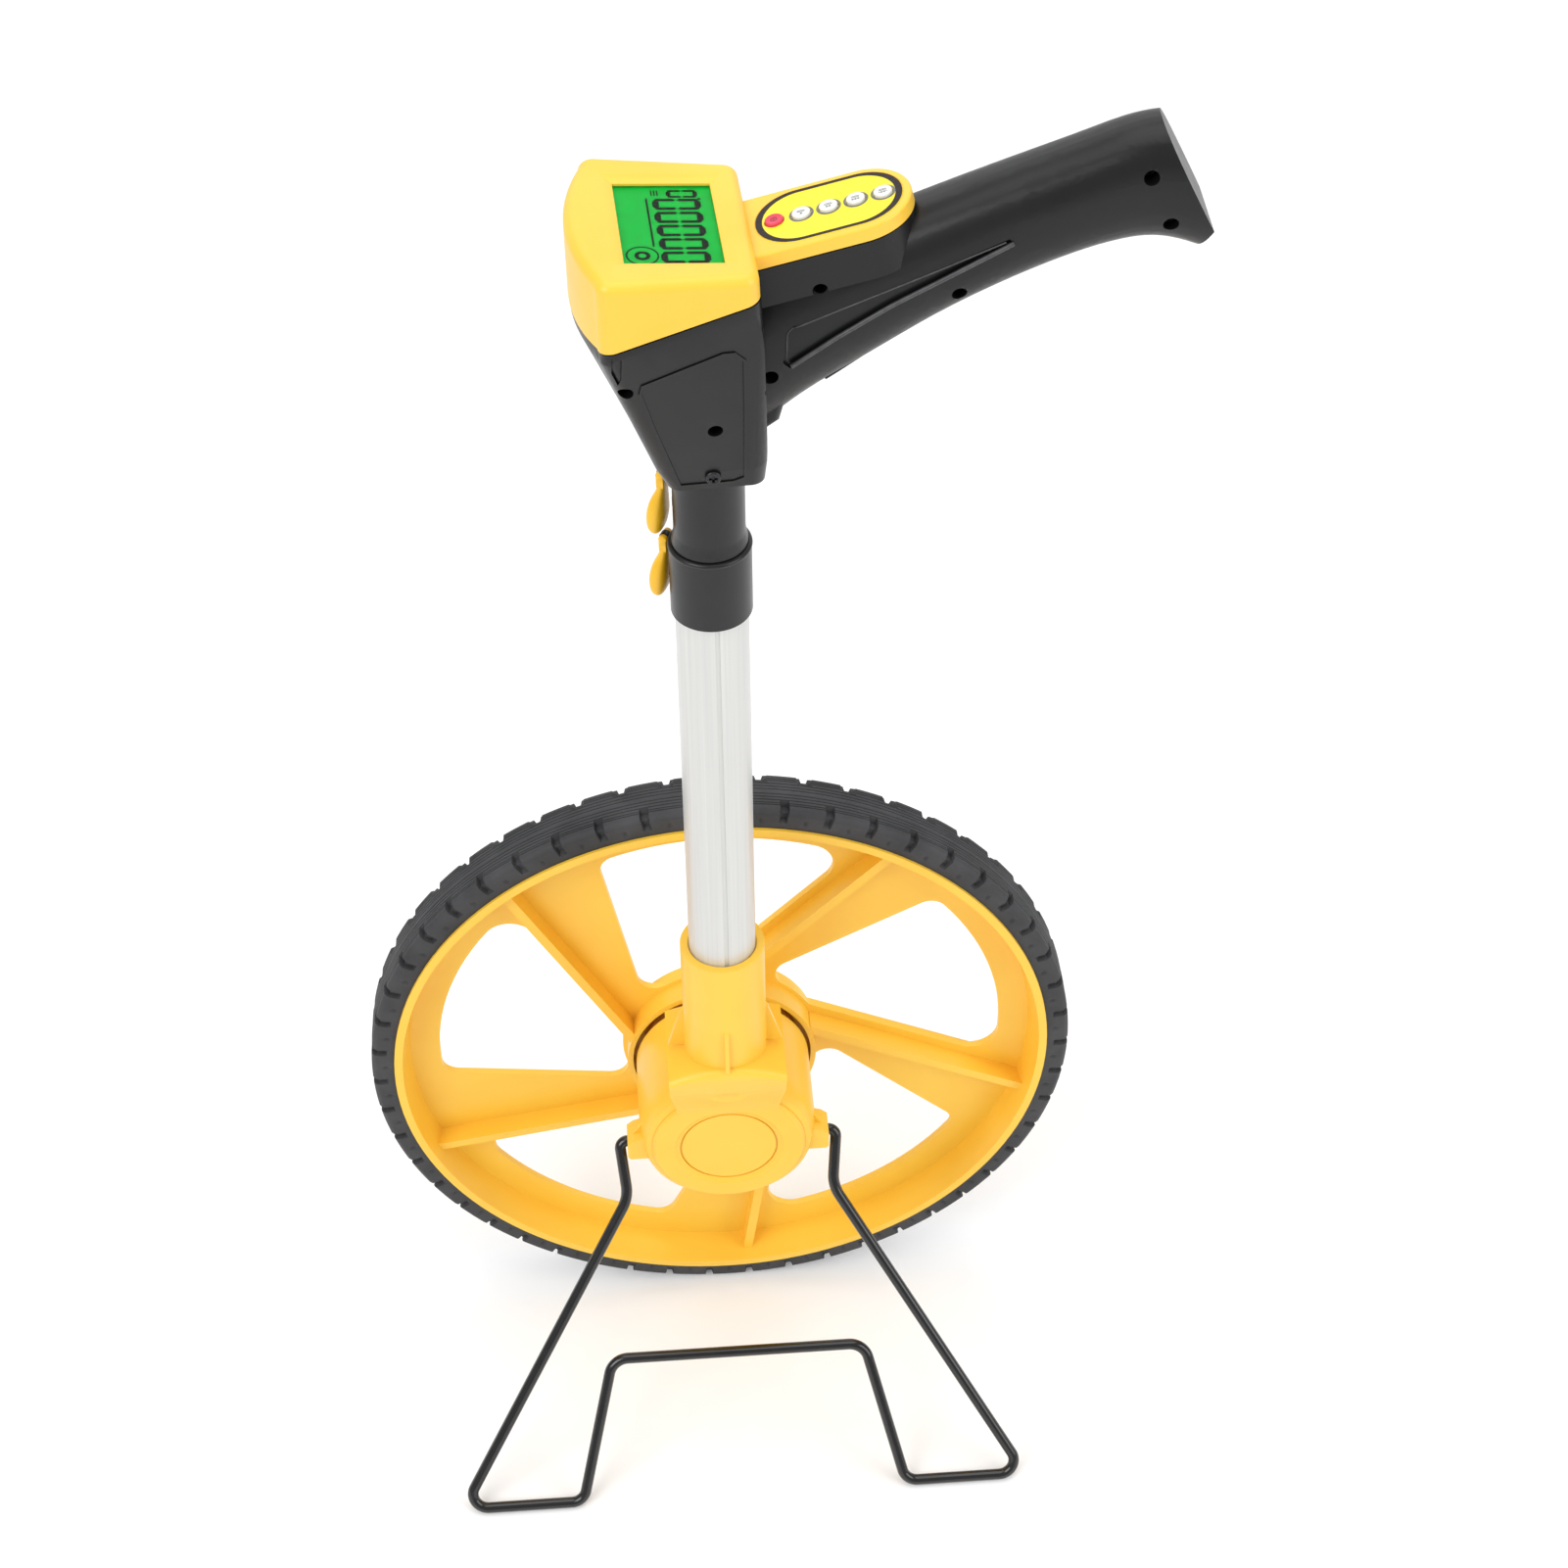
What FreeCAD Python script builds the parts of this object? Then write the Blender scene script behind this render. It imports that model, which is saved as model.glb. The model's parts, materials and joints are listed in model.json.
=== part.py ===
import FreeCAD, Part
import math
import os

# Measuring wheel with a telescopic pole, a folding wire stand and a display head.
# Frame: +Z up, origin on the floor straight below the pole's axis. X is the rolling
# direction (the handle points to +X), Y is the wheel's axle, and the wheel is on the +Y
# side of the pole. All sizes in millimetres.

V = FreeCAD.Vector

# ---------------------------------------------------------------- driving dimensions
WHEEL_R = 1000.0 / (2.0 * math.pi)  # one turn of the wheel is one metre
AXLE_Z = WHEEL_R
TYRE_FRONT = 41.2
TYRE_BACK = 65.0
TYRE_SEAT_R = 148.7
RIM_FRONT = 39.8
RIM_BACK = 66.0
RIM_INNER_R = 143.4
WEB_FRONT = 55.6
WEB_BACK = 58.8
SPOKES = 5
SPOKE_STEP = 360.0 / SPOKES
RIB_ANGLE = 129.8       # where the first rib meets the rim, from +X towards +Z
RIB_OFFSET = 29.0       # distance from the axle to each rib's line
RIB_THICK = 4.2
OPENING_R = 128.5
OPENING_APEX = (-27.1, -24.6)   # where an opening's straight sides would meet, from the axle
OPENING_ANGLES = (118.2, 172.9)  # the way that each straight side runs outwards
OPENING_INNER_R = 45.0
OPENING_CORNER, OPENING_WIDE_CORNER = 8.0, 12.0
HUB_RING_R = 43.0
HUB_RING_FRONT = 45.0
BOSS_R = 17.0
BEARING_R = 11.0
BEARING_W = 7.0
BEARING_Y = (46.0, 57.0)
AXLE_R = 4.0

CASING_R = 39.3
CASING_FRONT = -7.0
CASING_BACK = 43.0
DISC_R = 34.0
BADGE_R = 21.8
SHOULDER_Z = 221.5
SLEEVE_R = 17.75
SLEEVE_TOP = 281.5
SOCKET_Z = 212.0

OUTER_R, OUTER_WALL = 14.0, 1.2
MIDDLE_R, MIDDLE_WALL = 12.4, 1.0
INNER_R, INNER_WALL = 10.9, 1.0
OUTER_TOP = 473.0
MIDDLE_BOTTOM, MIDDLE_TOP = 228.0, 503.0
INNER_BOTTOM, INNER_TOP = 245.0, 562.0
COLLAR_R = 15.5
COLLAR_BOTTOM, COLLAR_TOP = 464.0, 495.0
UPPER_COLLAR_R = 13.35
UPPER_COLLAR_BOTTOM, UPPER_COLLAR_TOP = 487.0, 533.2
LEVER_STEP = 29.5       # the upper lever sits this far above the lower one
LEVER_PIVOT_R = 17.9     # from the pole's axis to each lever's pin
LEVER_PIVOT_Z = 492.4
LEVER_HEAD_R = 1.7
LEVER_AZIMUTH = -25.0
LUG_HALF = 1.15
PIN_R = 0.8
PIN_HALF = 2.5          # the pin snaps into blind holes in the lever's fork

WIRE_R = 2.5
HINGE_Y, HINGE_Z = 2.5, 154.0
LUG_FACE = 45.0
FOOT_Y = -84.0
FOOT_OUT, FOOT_IN = 130.0, 74.5
CROSS_X, CROSS_Z = 57.5, 63.0

HEAD_FLOOR = 534.0
HEAD_LEFT, HEAD_RIGHT = -38.6, 16.6
HEAD_TURN = 3.0         # the head block is set this far round the pole
HEAD_LEAN = 12.0        # how far the block would drift to +X over 120 mm below its tilted top
HEAD_PLAN = (HEAD_LEFT, HEAD_RIGHT, 41.0, 37.0, 7.3)   # left, right, half widths, bow
# Heights of the black funnel: z, left, right, half width left and right, bow of the nose.
FUNNEL = ((HEAD_FLOOR, -16.0, 19.2, 19.5, 19.5, 0.4), (543.0, -19.9, 19.8, 22.0, 22.0, 0.8),
          (640.0, -49.6, 20.6, 51.9, 40.5, 10.8))
CROWN_R = 3.8
# Outline of the raised panel on each side of the funnel, and how far it stands proud.
SIDE_PANEL = ((-23.8, 588.5), (-22.8, 592.8), (-8.0, 597.9), (5.1, 602.2), (9.3, 601.8), (13.0, 597.3),
              (13.2, 566.9), (13.0, 538.6), (8.5, 536.6), (-11.1, 536.4), (-19.4, 569.0))
SIDE_NOTCH = ((-32.2, 607.0), (-28.9, 606.6), (-29.4, 597.5), (-30.6, 593.6), (-32.6, 600.2))
PANEL_RISE = 0.5
PANEL_LINE = 1.0
SEAM_STEP = 0.15        # the black funnel stands this far inside the yellow cover
SEAM_LEFT_Z, SEAM_SLOPE = 608.3, 0.250
SEAM_GAP, SEAM_TONGUE = 0.6, 1.1
TOP_Z, TOP_SLOPE = 635.2, -0.08
WALL = 2.5
LCD_X = (-27.7, 6.0)
LCD_HALF_Y = 24.7
LCD_DROP = 1.6
PAD_CENTRE = V(43.35, 0, 635.2)
PAD_TILT = 14.2
PAD_HALF = 18.2
PAD_END = 10.4          # middle of the round end, along the pad from its centre
PAD_SKIN = 5.3
PAD_WALL = 20.5
BUTTON_STEP = 9.47
BUTTON_R = 3.25
BUTTONS = ("power_button", "start_button", "reset_button", "store_button", "unit_button")

# Handle stations: centre x, centre z, half height, half width, slope in degrees.
HANDLE = (
    (8.0, 578.0, 27.0, 18.6, 34.0),
    (20.3, 586.1, 25.6, 18.2, 33.0),
    (44.6, 599.3, 23.2, 17.4, 30.0),
    (73.1, 613.8, 20.1, 16.6, 26.5),
    (96.1, 624.3, 18.8, 15.9, 23.0),
    (118.0, 633.1, 18.3, 15.5, 18.5),
    (135.7, 639.2, 18.9, 15.5, 15.0),
    (149.0, 642.2, 20.8, 15.5, 14.0),
    (160.3, 641.6, 23.6, 15.6, 14.0),
    (174.0, 645.0, 24.4, 15.6, 14.0),
)
HANDLE_POWER = 2.6      # superellipse exponent of the handle's section
SECTION_POINTS = 28
PANEL_DEPTH = 1.4
SCREW_HOLE_R = 2.7
SCREW_BOSS_R = 4.4
HOUSING_SCREWS = ((-28.2, 589.5), (2.1, 564.4), (22.1, 579.4), (39.2, 614.0), (86.9, 607.9),
                  (149.5, 650.0), (157.5, 631.5))
NECK_SCREW = (1.1, 540.9)


# ---------------------------------------------------------------- helpers
def box(x0, x1, y0, y1, z0, z1):
    return Part.makeBox(x1 - x0, y1 - y0, z1 - z0, V(x0, y0, z0))


def cyl_x(y, z, r, x0, x1):
    return Part.makeCylinder(r, x1 - x0, V(x0, y, z), V(1, 0, 0))


def cyl_y(x, z, r, y0, y1):
    return Part.makeCylinder(r, y1 - y0, V(x, y0, z), V(0, 1, 0))


def cyl_z(r, z0, z1, x=0.0, y=0.0):
    return Part.makeCylinder(r, z1 - z0, V(x, y, z0), V(0, 0, 1))


def tube_z(r_out, r_in, z0, z1):
    return cyl_z(r_out, z0, z1).cut(cyl_z(r_in, z0 - 1, z1 + 1))


def ring_y(r_out, r_in, y0, y1, z=AXLE_Z):
    return cyl_y(0, z, r_out, y0, y1).cut(cyl_y(0, z, r_in, y0 - 1, y1 + 1))


def face_of(points):
    return Part.Face(Part.makePolygon(list(points) + [points[0]]))


def prism_xz(points, y0, y1):
    return face_of([V(x, y0, z) for x, z in points]).extrude(V(0, y1 - y0, 0))


def prism_yz(points, x0, x1):
    return face_of([V(x0, y, z) for y, z in points]).extrude(V(x1 - x0, 0, 0))


def revolve_y(profile, z=AXLE_Z):
    """A solid of revolution about the axle, from (y, radius) points."""
    face = face_of([V(r, y, z) for y, r in profile])
    return face.revolve(V(0, 0, z), V(0, 1, 0), 360)


def fuse_all(shapes):
    result = shapes[0]
    for shape in shapes[1:]:
        result = result.fuse(shape)
    return result.removeSplitter()


def turned(shape, degrees, centre=V(0, 0, 0), axis=V(0, 0, 1)):
    copy = shape.copy()
    copy.rotate(centre, axis, degrees)
    return copy


def mirrored_x(shape):
    return shape.mirror(V(0, 0, 0), V(1, 0, 0))


def rounded(shape, radius, wanted):
    """Rounds the edges for which wanted(edge) is true."""
    edges = [e for e in shape.Edges if wanted(e)]
    return shape.makeFillet(radius, edges)


def runs_along(edge, axis, shortest=1.0):
    """True for a straight edge that runs mostly along an axis."""
    if edge.Length < shortest or edge.Curve.TypeId != "Part::GeomLine":
        return False
    way = edge.Vertexes[1].Point - edge.Vertexes[0].Point
    return abs(way.dot(axis)) > 0.9 * way.Length


def save(shape, name):
    solids = shape.Solids
    if not solids or not shape.isValid():
        raise ValueError(name + " is not a valid solid")
    whole = solids[0] if len(solids) == 1 else Part.makeCompound(solids)
    whole.exportStep("parts/" + name + ".step")
    print(name, len(solids), round(whole.Volume))


# ---------------------------------------------------------------- wheel
def on_wheel(radius, degrees, y=0.0):
    a = math.radians(degrees)
    return V(radius * math.cos(a), y, AXLE_Z + radius * math.sin(a))


def wheel_opening():
    """The gap after the first rib, going round from +X towards +Z."""
    apex = V(OPENING_APEX[0], WEB_FRONT - 3, AXLE_Z + OPENING_APEX[1])
    corners = [apex]
    for degrees in OPENING_ANGLES:
        a = math.radians(degrees)
        corners.append(apex + V(math.cos(a), 0, math.sin(a)) * 250)
    wedge = face_of(corners).extrude(V(0, WEB_BACK - WEB_FRONT + 6, 0))
    gap = wedge.common(ring_y(OPENING_R, OPENING_INNER_R, WEB_FRONT - 3, WEB_BACK + 3))
    high = AXLE_Z + 50
    gap = rounded(gap, OPENING_WIDE_CORNER,
                  lambda e: runs_along(e, V(0, 1, 0)) and e.BoundBox.ZMin > high)
    return rounded(gap, OPENING_CORNER, lambda e: runs_along(e, V(0, 1, 0)) and e.BoundBox.ZMin < high)


def wheel_rib(y0, y1, thick):
    """One straight rib, tangent to a circle round the axle."""
    outer_r = RIM_INNER_R + 1.0
    end = math.sqrt(outer_r ** 2 - RIB_OFFSET ** 2)
    start = math.sqrt((HUB_RING_R - 1.2) ** 2 - RIB_OFFSET ** 2)
    lean = RIB_ANGLE - math.degrees(math.asin(RIB_OFFSET / outer_r))
    rib = box(start, end, y0, y1, AXLE_Z + RIB_OFFSET - thick / 2, AXLE_Z + RIB_OFFSET + thick / 2)
    return turned(rib, lean, V(0, 0, AXLE_Z), V(0, -1, 0))


def make_wheel_rim():
    ring = revolve_y([
        (RIM_FRONT, RIM_INNER_R + 1.6), (RIM_FRONT, TYRE_SEAT_R), (RIM_BACK, TYRE_SEAT_R),
        (RIM_BACK, RIM_INNER_R + 1.0), (WEB_BACK, RIM_INNER_R - 1.0), (WEB_BACK, RIM_INNER_R - 4),
        (WEB_FRONT, RIM_INNER_R - 4), (WEB_FRONT, RIM_INNER_R - 1.4)])
    web = ring_y(RIM_INNER_R, BEARING_R + 1, WEB_FRONT, WEB_BACK)
    pieces = [ring]
    opening = wheel_opening()
    for i in range(SPOKES):
        web = web.cut(turned(opening, i * SPOKE_STEP, V(0, 0, AXLE_Z), V(0, -1, 0)))
    pieces.append(web)
    for i in range(SPOKES):
        for y0, y1 in ((WEB_FRONT - 9.6, WEB_FRONT + 1), (WEB_BACK - 1, WEB_BACK + 5.6)):
            rib = wheel_rib(y0, y1, RIB_THICK)
            pieces.append(turned(rib, i * SPOKE_STEP, V(0, 0, AXLE_Z), V(0, -1, 0)))
    pieces.append(ring_y(HUB_RING_R, HUB_RING_R - 2.4, HUB_RING_FRONT, WEB_FRONT + 1))
    pieces.append(ring_y(HUB_RING_R, HUB_RING_R - 3.0, WEB_BACK - 1, WEB_BACK + 5.6))
    pieces.append(ring_y(BOSS_R, BEARING_R, BEARING_Y[0] - 0.6, RIM_BACK))
    spoke_rib = box(BOSS_R - 1, HUB_RING_R - 2, WEB_BACK - 1, WEB_BACK + 4.6, AXLE_Z - 1.4,
                    AXLE_Z + 1.4)
    for i in range(SPOKES * 2):
        pieces.append(turned(spoke_rib, i * SPOKE_STEP / 2, V(0, 0, AXLE_Z), V(0, 1, 0)))
    return fuse_all(pieces).cut(cyl_y(0, AXLE_Z, 6.5, RIM_FRONT, RIM_BACK + 1))


def make_tyre():
    crown = 1.5
    mid = (TYRE_FRONT + TYRE_BACK) / 2
    shoulder = WHEEL_R - crown
    edge = face_of([
        V(TYRE_SEAT_R, TYRE_FRONT, 0), V(shoulder - 1.2, TYRE_FRONT, 0),
        V(shoulder + 0.1, TYRE_FRONT + 1.3, 0), V(WHEEL_R - 0.25, TYRE_FRONT + 7.5, 0),
        V(WHEEL_R, mid, 0), V(WHEEL_R - 0.25, TYRE_BACK - 7.5, 0),
        V(shoulder + 0.1, TYRE_BACK - 1.3, 0), V(shoulder - 1.2, TYRE_BACK, 0),
        V(TYRE_SEAT_R, TYRE_BACK, 0)])
    tyre = edge.revolve(V(0, 0, 0), V(0, 1, 0), 360)
    tyre.translate(V(0, 0, AXLE_Z))
    return tyre


def make_wheel():
    save(make_wheel_rim(), "wheel_rim")
    save(make_tyre(), "tyre")
    outers, inners, balls = [], [], []
    groove_r, ball_r, race_r = 7.5, 1.9, 9.0
    for y in BEARING_Y:
        mid = y + BEARING_W / 2
        track = Part.makeTorus(groove_r, ball_r + 0.06, V(0, mid, AXLE_Z), V(0, 1, 0))
        outers.append(ring_y(BEARING_R - 0.02, race_r, y, y + BEARING_W).cut(track))
        inners.append(ring_y(6.0, AXLE_R + 0.02, y, y + BEARING_W).cut(track))
        for i in range(7):
            place = on_wheel(groove_r, i * 360.0 / 7, mid)
            balls.append(Part.makeSphere(ball_r, place))
    save(Part.makeCompound(outers), "bearing_outer_rings")
    save(Part.makeCompound(inners), "bearing_inner_rings")
    save(Part.makeCompound(balls), "bearing_balls")
    gap = (BEARING_Y[0] + BEARING_W + 0.05, BEARING_Y[1] - 0.05)
    save(ring_y(6.0, AXLE_R + 0.05, gap[0], gap[1]), "bearing_spacer")
    save(ring_y(35.0, 27.0, WEB_FRONT - 4.0, WEB_FRONT), "magnet_ring")
    cap = revolve_y([(RIM_BACK, 13.0), (RIM_BACK, 19.0), (RIM_BACK + 5.5, 17.5),
                     (RIM_BACK + 8.0, 13.5), (RIM_BACK + 8.6, 0), (RIM_BACK + 6.6, 0),
                     (RIM_BACK + 6.2, 12.5), (RIM_BACK + 2, 13.0)])
    save(cap, "wheel_hub_cap")


# ---------------------------------------------------------------- hub casing, axle, sensor
def casing_screw_places():
    return [on_wheel(31.0, a) for a in (40, 140, 220, 320)]


def make_shoulder():
    """The spine of the casing, which carries the sleeve; its top is round about the axle."""
    front = CASING_FRONT
    across = prism_xz([(-25.6, SHOULDER_Z), (25.6, SHOULDER_Z), (25.0, 205), (22.6, 188),
                       (21.0, 150), (-21.0, 150), (-22.6, 188), (-25.0, 205)], -30, 40)
    side = prism_yz([(-20.4, SHOULDER_Z), (-20.4, 215.5), (-18.6, 207.5), (-15.2, 199.5),
                     (-12.0, 192.5), (-10.2, 187), (front - 2.0, 182), (front + 0.6, 178),
                     (front + 0.6, 140), (30, 140), (22, SHOULDER_Z)], -30, 30)
    crown = cyl_y(0, AXLE_Z, SHOULDER_Z - AXLE_Z, -30, 40)
    block = across.common(side).common(crown)
    return rounded(block, 3.0, lambda e: e.BoundBox.YMax < -19.5 and e.BoundBox.ZMin > SHOULDER_Z - 5.5)


def make_lug():
    """The +X lug that one end of the stand's wire turns in."""
    lug = prism_xz([(34.0, HINGE_Z - 6.0), (LUG_FACE - 1.2, HINGE_Z - 6.0), (LUG_FACE, HINGE_Z - 4.8),
                    (LUG_FACE, HINGE_Z + 3.4), (LUG_FACE - 2.8, HINGE_Z + 6.0), (34.0, HINGE_Z + 9.0)],
                   HINGE_Y - 6.0, HINGE_Y + 6.5)
    web = prism_xz([(30, 176), (39, 165), (LUG_FACE - 2, HINGE_Z + 5), (LUG_FACE - 2, HINGE_Z - 4),
                    (37, HINGE_Z - 6), (30, 132)], HINGE_Y - 1.5, HINGE_Y + 1.5)
    return lug.fuse(web)


def make_hub_casing():
    drum = revolve_y([(CASING_FRONT, 0), (CASING_FRONT, DISC_R + 0.6), (CASING_FRONT + 1.2, 36.6),
                      (CASING_FRONT + 4.5, 38.2), (CASING_FRONT + 9.5, 39.1), (8, CASING_R),
                      (CASING_BACK, CASING_R), (CASING_BACK, 0)])
    face = CASING_FRONT - 2.4
    disc = revolve_y([(face + 1.0, 0), (face + 1.0, BADGE_R + 1.0), (face, BADGE_R + 2.6), (face, DISC_R - 2.4),
                      (face + 0.5, DISC_R - 1.0), (face + 1.8, DISC_R), (CASING_FRONT + 2, DISC_R),
                      (CASING_FRONT + 2, 0)])
    sleeve = cyl_z(SLEEVE_R, 200, SLEEVE_TOP)
    shell = fuse_all([drum, disc, make_shoulder(), sleeve, make_lug(), mirrored_x(make_lug())])
    # Hollow from the back, keeping a post for the axle and four screw posts.
    hollow = cyl_y(0, AXLE_Z, CASING_R - 2.8, CASING_FRONT + 2.8, CASING_BACK + 1)
    hollow = hollow.cut(cyl_y(0, AXLE_Z, 9.0, CASING_FRONT, CASING_BACK - 5.2))
    for place in casing_screw_places():
        hollow = hollow.cut(cyl_y(place.x, place.z, 4.2, CASING_FRONT, CASING_BACK - 3.2))
    shell = shell.cut(hollow)
    for place in casing_screw_places():
        shell = shell.cut(cyl_y(place.x, place.z, 1.5, CASING_BACK - 20, CASING_BACK))
    shell = shell.cut(cyl_y(0, AXLE_Z, AXLE_R + 0.02, CASING_FRONT + 3.0, CASING_BACK))
    shell = shell.cut(ring_y(BADGE_R, BADGE_R - 0.9, face, face + 1.9))
    socket = cyl_z(OUTER_R + 0.03, SOCKET_Z, SLEEVE_TOP + 1)
    lead_in = Part.makeCone(OUTER_R + 0.03, OUTER_R + 0.6, 1.0, V(0, 0, SLEEVE_TOP - 1.0), V(0, 0, 1))
    shell = shell.cut(socket).cut(lead_in)
    ribs = [prism_yz([(-SLEEVE_R + 0.6, 245.5), (-SLEEVE_R - 1.4, 243.0),
                      (-20.2, SHOULDER_Z - 1), (-SLEEVE_R + 0.6, SHOULDER_Z - 1)], -0.9, 0.9)]
    for side in (-1, 1):
        gusset = [(side * (SLEEVE_R - 0.8), 243.0), (side * (SLEEVE_R + 0.8), 241.5),
                  (side * 24.6, SHOULDER_Z - 1), (side * (SLEEVE_R - 0.8), SHOULDER_Z - 1)]
        ribs.append(prism_xz(gusset, -1.2, 1.2))
    shell = fuse_all([shell] + ribs)
    for side in (-1, 1):
        ends = sorted((side * (LUG_FACE - 9.2), side * (LUG_FACE + 1)))
        shell = shell.cut(cyl_x(HINGE_Y, HINGE_Z, WIRE_R + 0.06, ends[0], ends[1]))
    screw_way = cyl_y(0, 232, 1.6, OUTER_R - 1, SLEEVE_R + 4)
    return shell.cut(screw_way)


def make_screw(x, z, y_head, y_tip, r_head, r_shank, way=1):
    """A pan-head screw along Y with a cross recess; way is +1 when it points to +Y."""
    head = cyl_y(x, z, r_head, 0, 2.0)
    head = rounded(head, 0.8, lambda e: e.BoundBox.YMax < 0.1)
    slot = 0.35 * r_head
    for dx, dz in ((0.55 * r_head, slot / 2), (slot / 2, 0.55 * r_head)):
        head = head.cut(box(x - dx, x + dx, -0.1, 1.0, z - dz, z + dz))
    length = abs(y_tip - y_head)
    screw = head.fuse(cyl_y(x, z, r_shank, 1.9, length))
    if way < 0:
        screw = screw.mirror(V(0, 0, 0), V(0, 1, 0))
    screw.translate(V(0, y_head, 0))
    return screw


def make_hub():
    save(make_hub_casing(), "hub_casing")
    plate = cyl_y(0, AXLE_Z, CASING_R - 3.0, CASING_BACK - 3.0, CASING_BACK)
    plate = plate.cut(cyl_y(0, AXLE_Z, 10.0, CASING_BACK - 4, CASING_BACK + 1))
    screws = []
    for place in casing_screw_places():
        plate = plate.cut(cyl_y(place.x, place.z, 1.8, CASING_BACK - 4, CASING_BACK + 1))
        plate = plate.cut(cyl_y(place.x, place.z, 3.4, CASING_BACK - 2.0, CASING_BACK + 1))
        screws.append(make_screw(place.x, place.z, CASING_BACK, CASING_BACK - 14, 3.0, 1.45, -1))
    save(Part.makeCompound(screws), "casing_screws")
    end = RIM_BACK + 5.0
    axle = cyl_y(0, AXLE_Z, AXLE_R, CASING_FRONT + 3.2, end)
    axle = axle.fuse(cyl_y(0, AXLE_Z, 7.5, CASING_BACK - 5.0, BEARING_Y[0] - 1.0))
    axle = axle.fuse(cyl_y(0, AXLE_Z, 5.6, BEARING_Y[0] - 1.0, BEARING_Y[0] - 0.03))
    save(axle.removeSplitter(), "axle")
    nut_y = BEARING_Y[1] + BEARING_W + 0.03
    save(ring_y(6.4, AXLE_R + 0.02, nut_y, nut_y + 1.0), "axle_washer")
    hexagon = [on_wheel(6.9, 60 * i) for i in range(6)]
    nut = prism_xz([(p.x, p.z) for p in hexagon], nut_y + 1.0, nut_y + 5.8)
    save(nut.cut(cyl_y(0, AXLE_Z, AXLE_R + 0.02, nut_y, nut_y + 8)), "axle_nut")
    board = prism_xz([(-24, AXLE_Z - 34), (24, AXLE_Z - 34), (24, AXLE_Z - 13), (-24, AXLE_Z - 13)],
                     CASING_BACK - 5.2, CASING_BACK - 3.6)
    for place in casing_screw_places():
        board = board.cut(cyl_y(place.x, place.z, 5.0, 0, CASING_BACK))
    board = board.common(cyl_y(0, AXLE_Z, CASING_R - 3.4, 0, CASING_BACK))
    save(board, "sensor_board")
    sensors = [box(x - 2, x + 2, CASING_BACK - 3.6, CASING_BACK - 2.4, AXLE_Z - 32, AXLE_Z - 29)
               for x in (-6, 6)]
    pockets = [box(x - 2.3, x + 2.3, CASING_BACK - 4, CASING_BACK - 2.2, AXLE_Z - 32.3, AXLE_Z - 28.7)
               for x in (-6, 6)]
    save(plate.cut(Part.makeCompound(pockets)), "casing_back_plate")
    save(Part.makeCompound(sensors), "hall_sensors")
    screw = make_screw(0, 232, SLEEVE_R + 2.05, OUTER_R - OUTER_WALL + 0.2, 3.0, 1.5, -1)
    save(screw, "pole_screw")


# ---------------------------------------------------------------- stand
def bent_wire(points, radii, wire_r):
    """A round wire along straight runs, with an arc of its own radius at each corner."""
    edges = []
    here = points[0]
    for i in range(1, len(points) - 1):
        corner = points[i]
        back = (points[i - 1] - corner).normalize()
        ahead = (points[i + 1] - corner).normalize()
        half = back.getAngle(ahead) / 2
        reach = radii[i - 1] / math.tan(half)
        first = corner + back * reach
        last = corner + ahead * reach
        inward = (back + ahead).normalize()
        middle = corner + inward * (radii[i - 1] / math.sin(half) - radii[i - 1])
        edges.append(Part.LineSegment(here, first).toShape())
        edges.append(Part.Arc(first, middle, last).toShape())
        here = last
    edges.append(Part.LineSegment(here, points[-1]).toShape())
    path = Part.Wire(edges)
    section = Part.Wire(Part.Circle(points[0], points[1] - points[0], wire_r).toShape())
    return path.makePipeShell([section], True, False)


def make_stand():
    lean = (FOOT_Y - HINGE_Y) / (HINGE_Z - WIRE_R)
    cross_y = HINGE_Y + lean * (HINGE_Z - CROSS_Z)
    knee_z = 130.5
    knee_y = HINGE_Y + lean * (HINGE_Z - knee_z)
    half = [V(LUG_FACE - 8.0, HINGE_Y, HINGE_Z), V(LUG_FACE + 3.7, HINGE_Y, HINGE_Z),
            V(LUG_FACE + 1.2, knee_y, knee_z), V(FOOT_OUT, FOOT_Y, WIRE_R),
            V(FOOT_IN, FOOT_Y, WIRE_R), V(CROSS_X, cross_y, CROSS_Z)]
    turns = [3.4, 18.0, 7.0, 7.0, 9.0]
    points = half + [V(-p.x, p.y, p.z) for p in reversed(half)]
    save(bent_wire(points, turns + turns[::-1], WIRE_R), "stand_wire")


# ---------------------------------------------------------------- pole
def beside_pole(shape):
    return turned(shape, LEVER_AZIMUTH)


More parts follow.
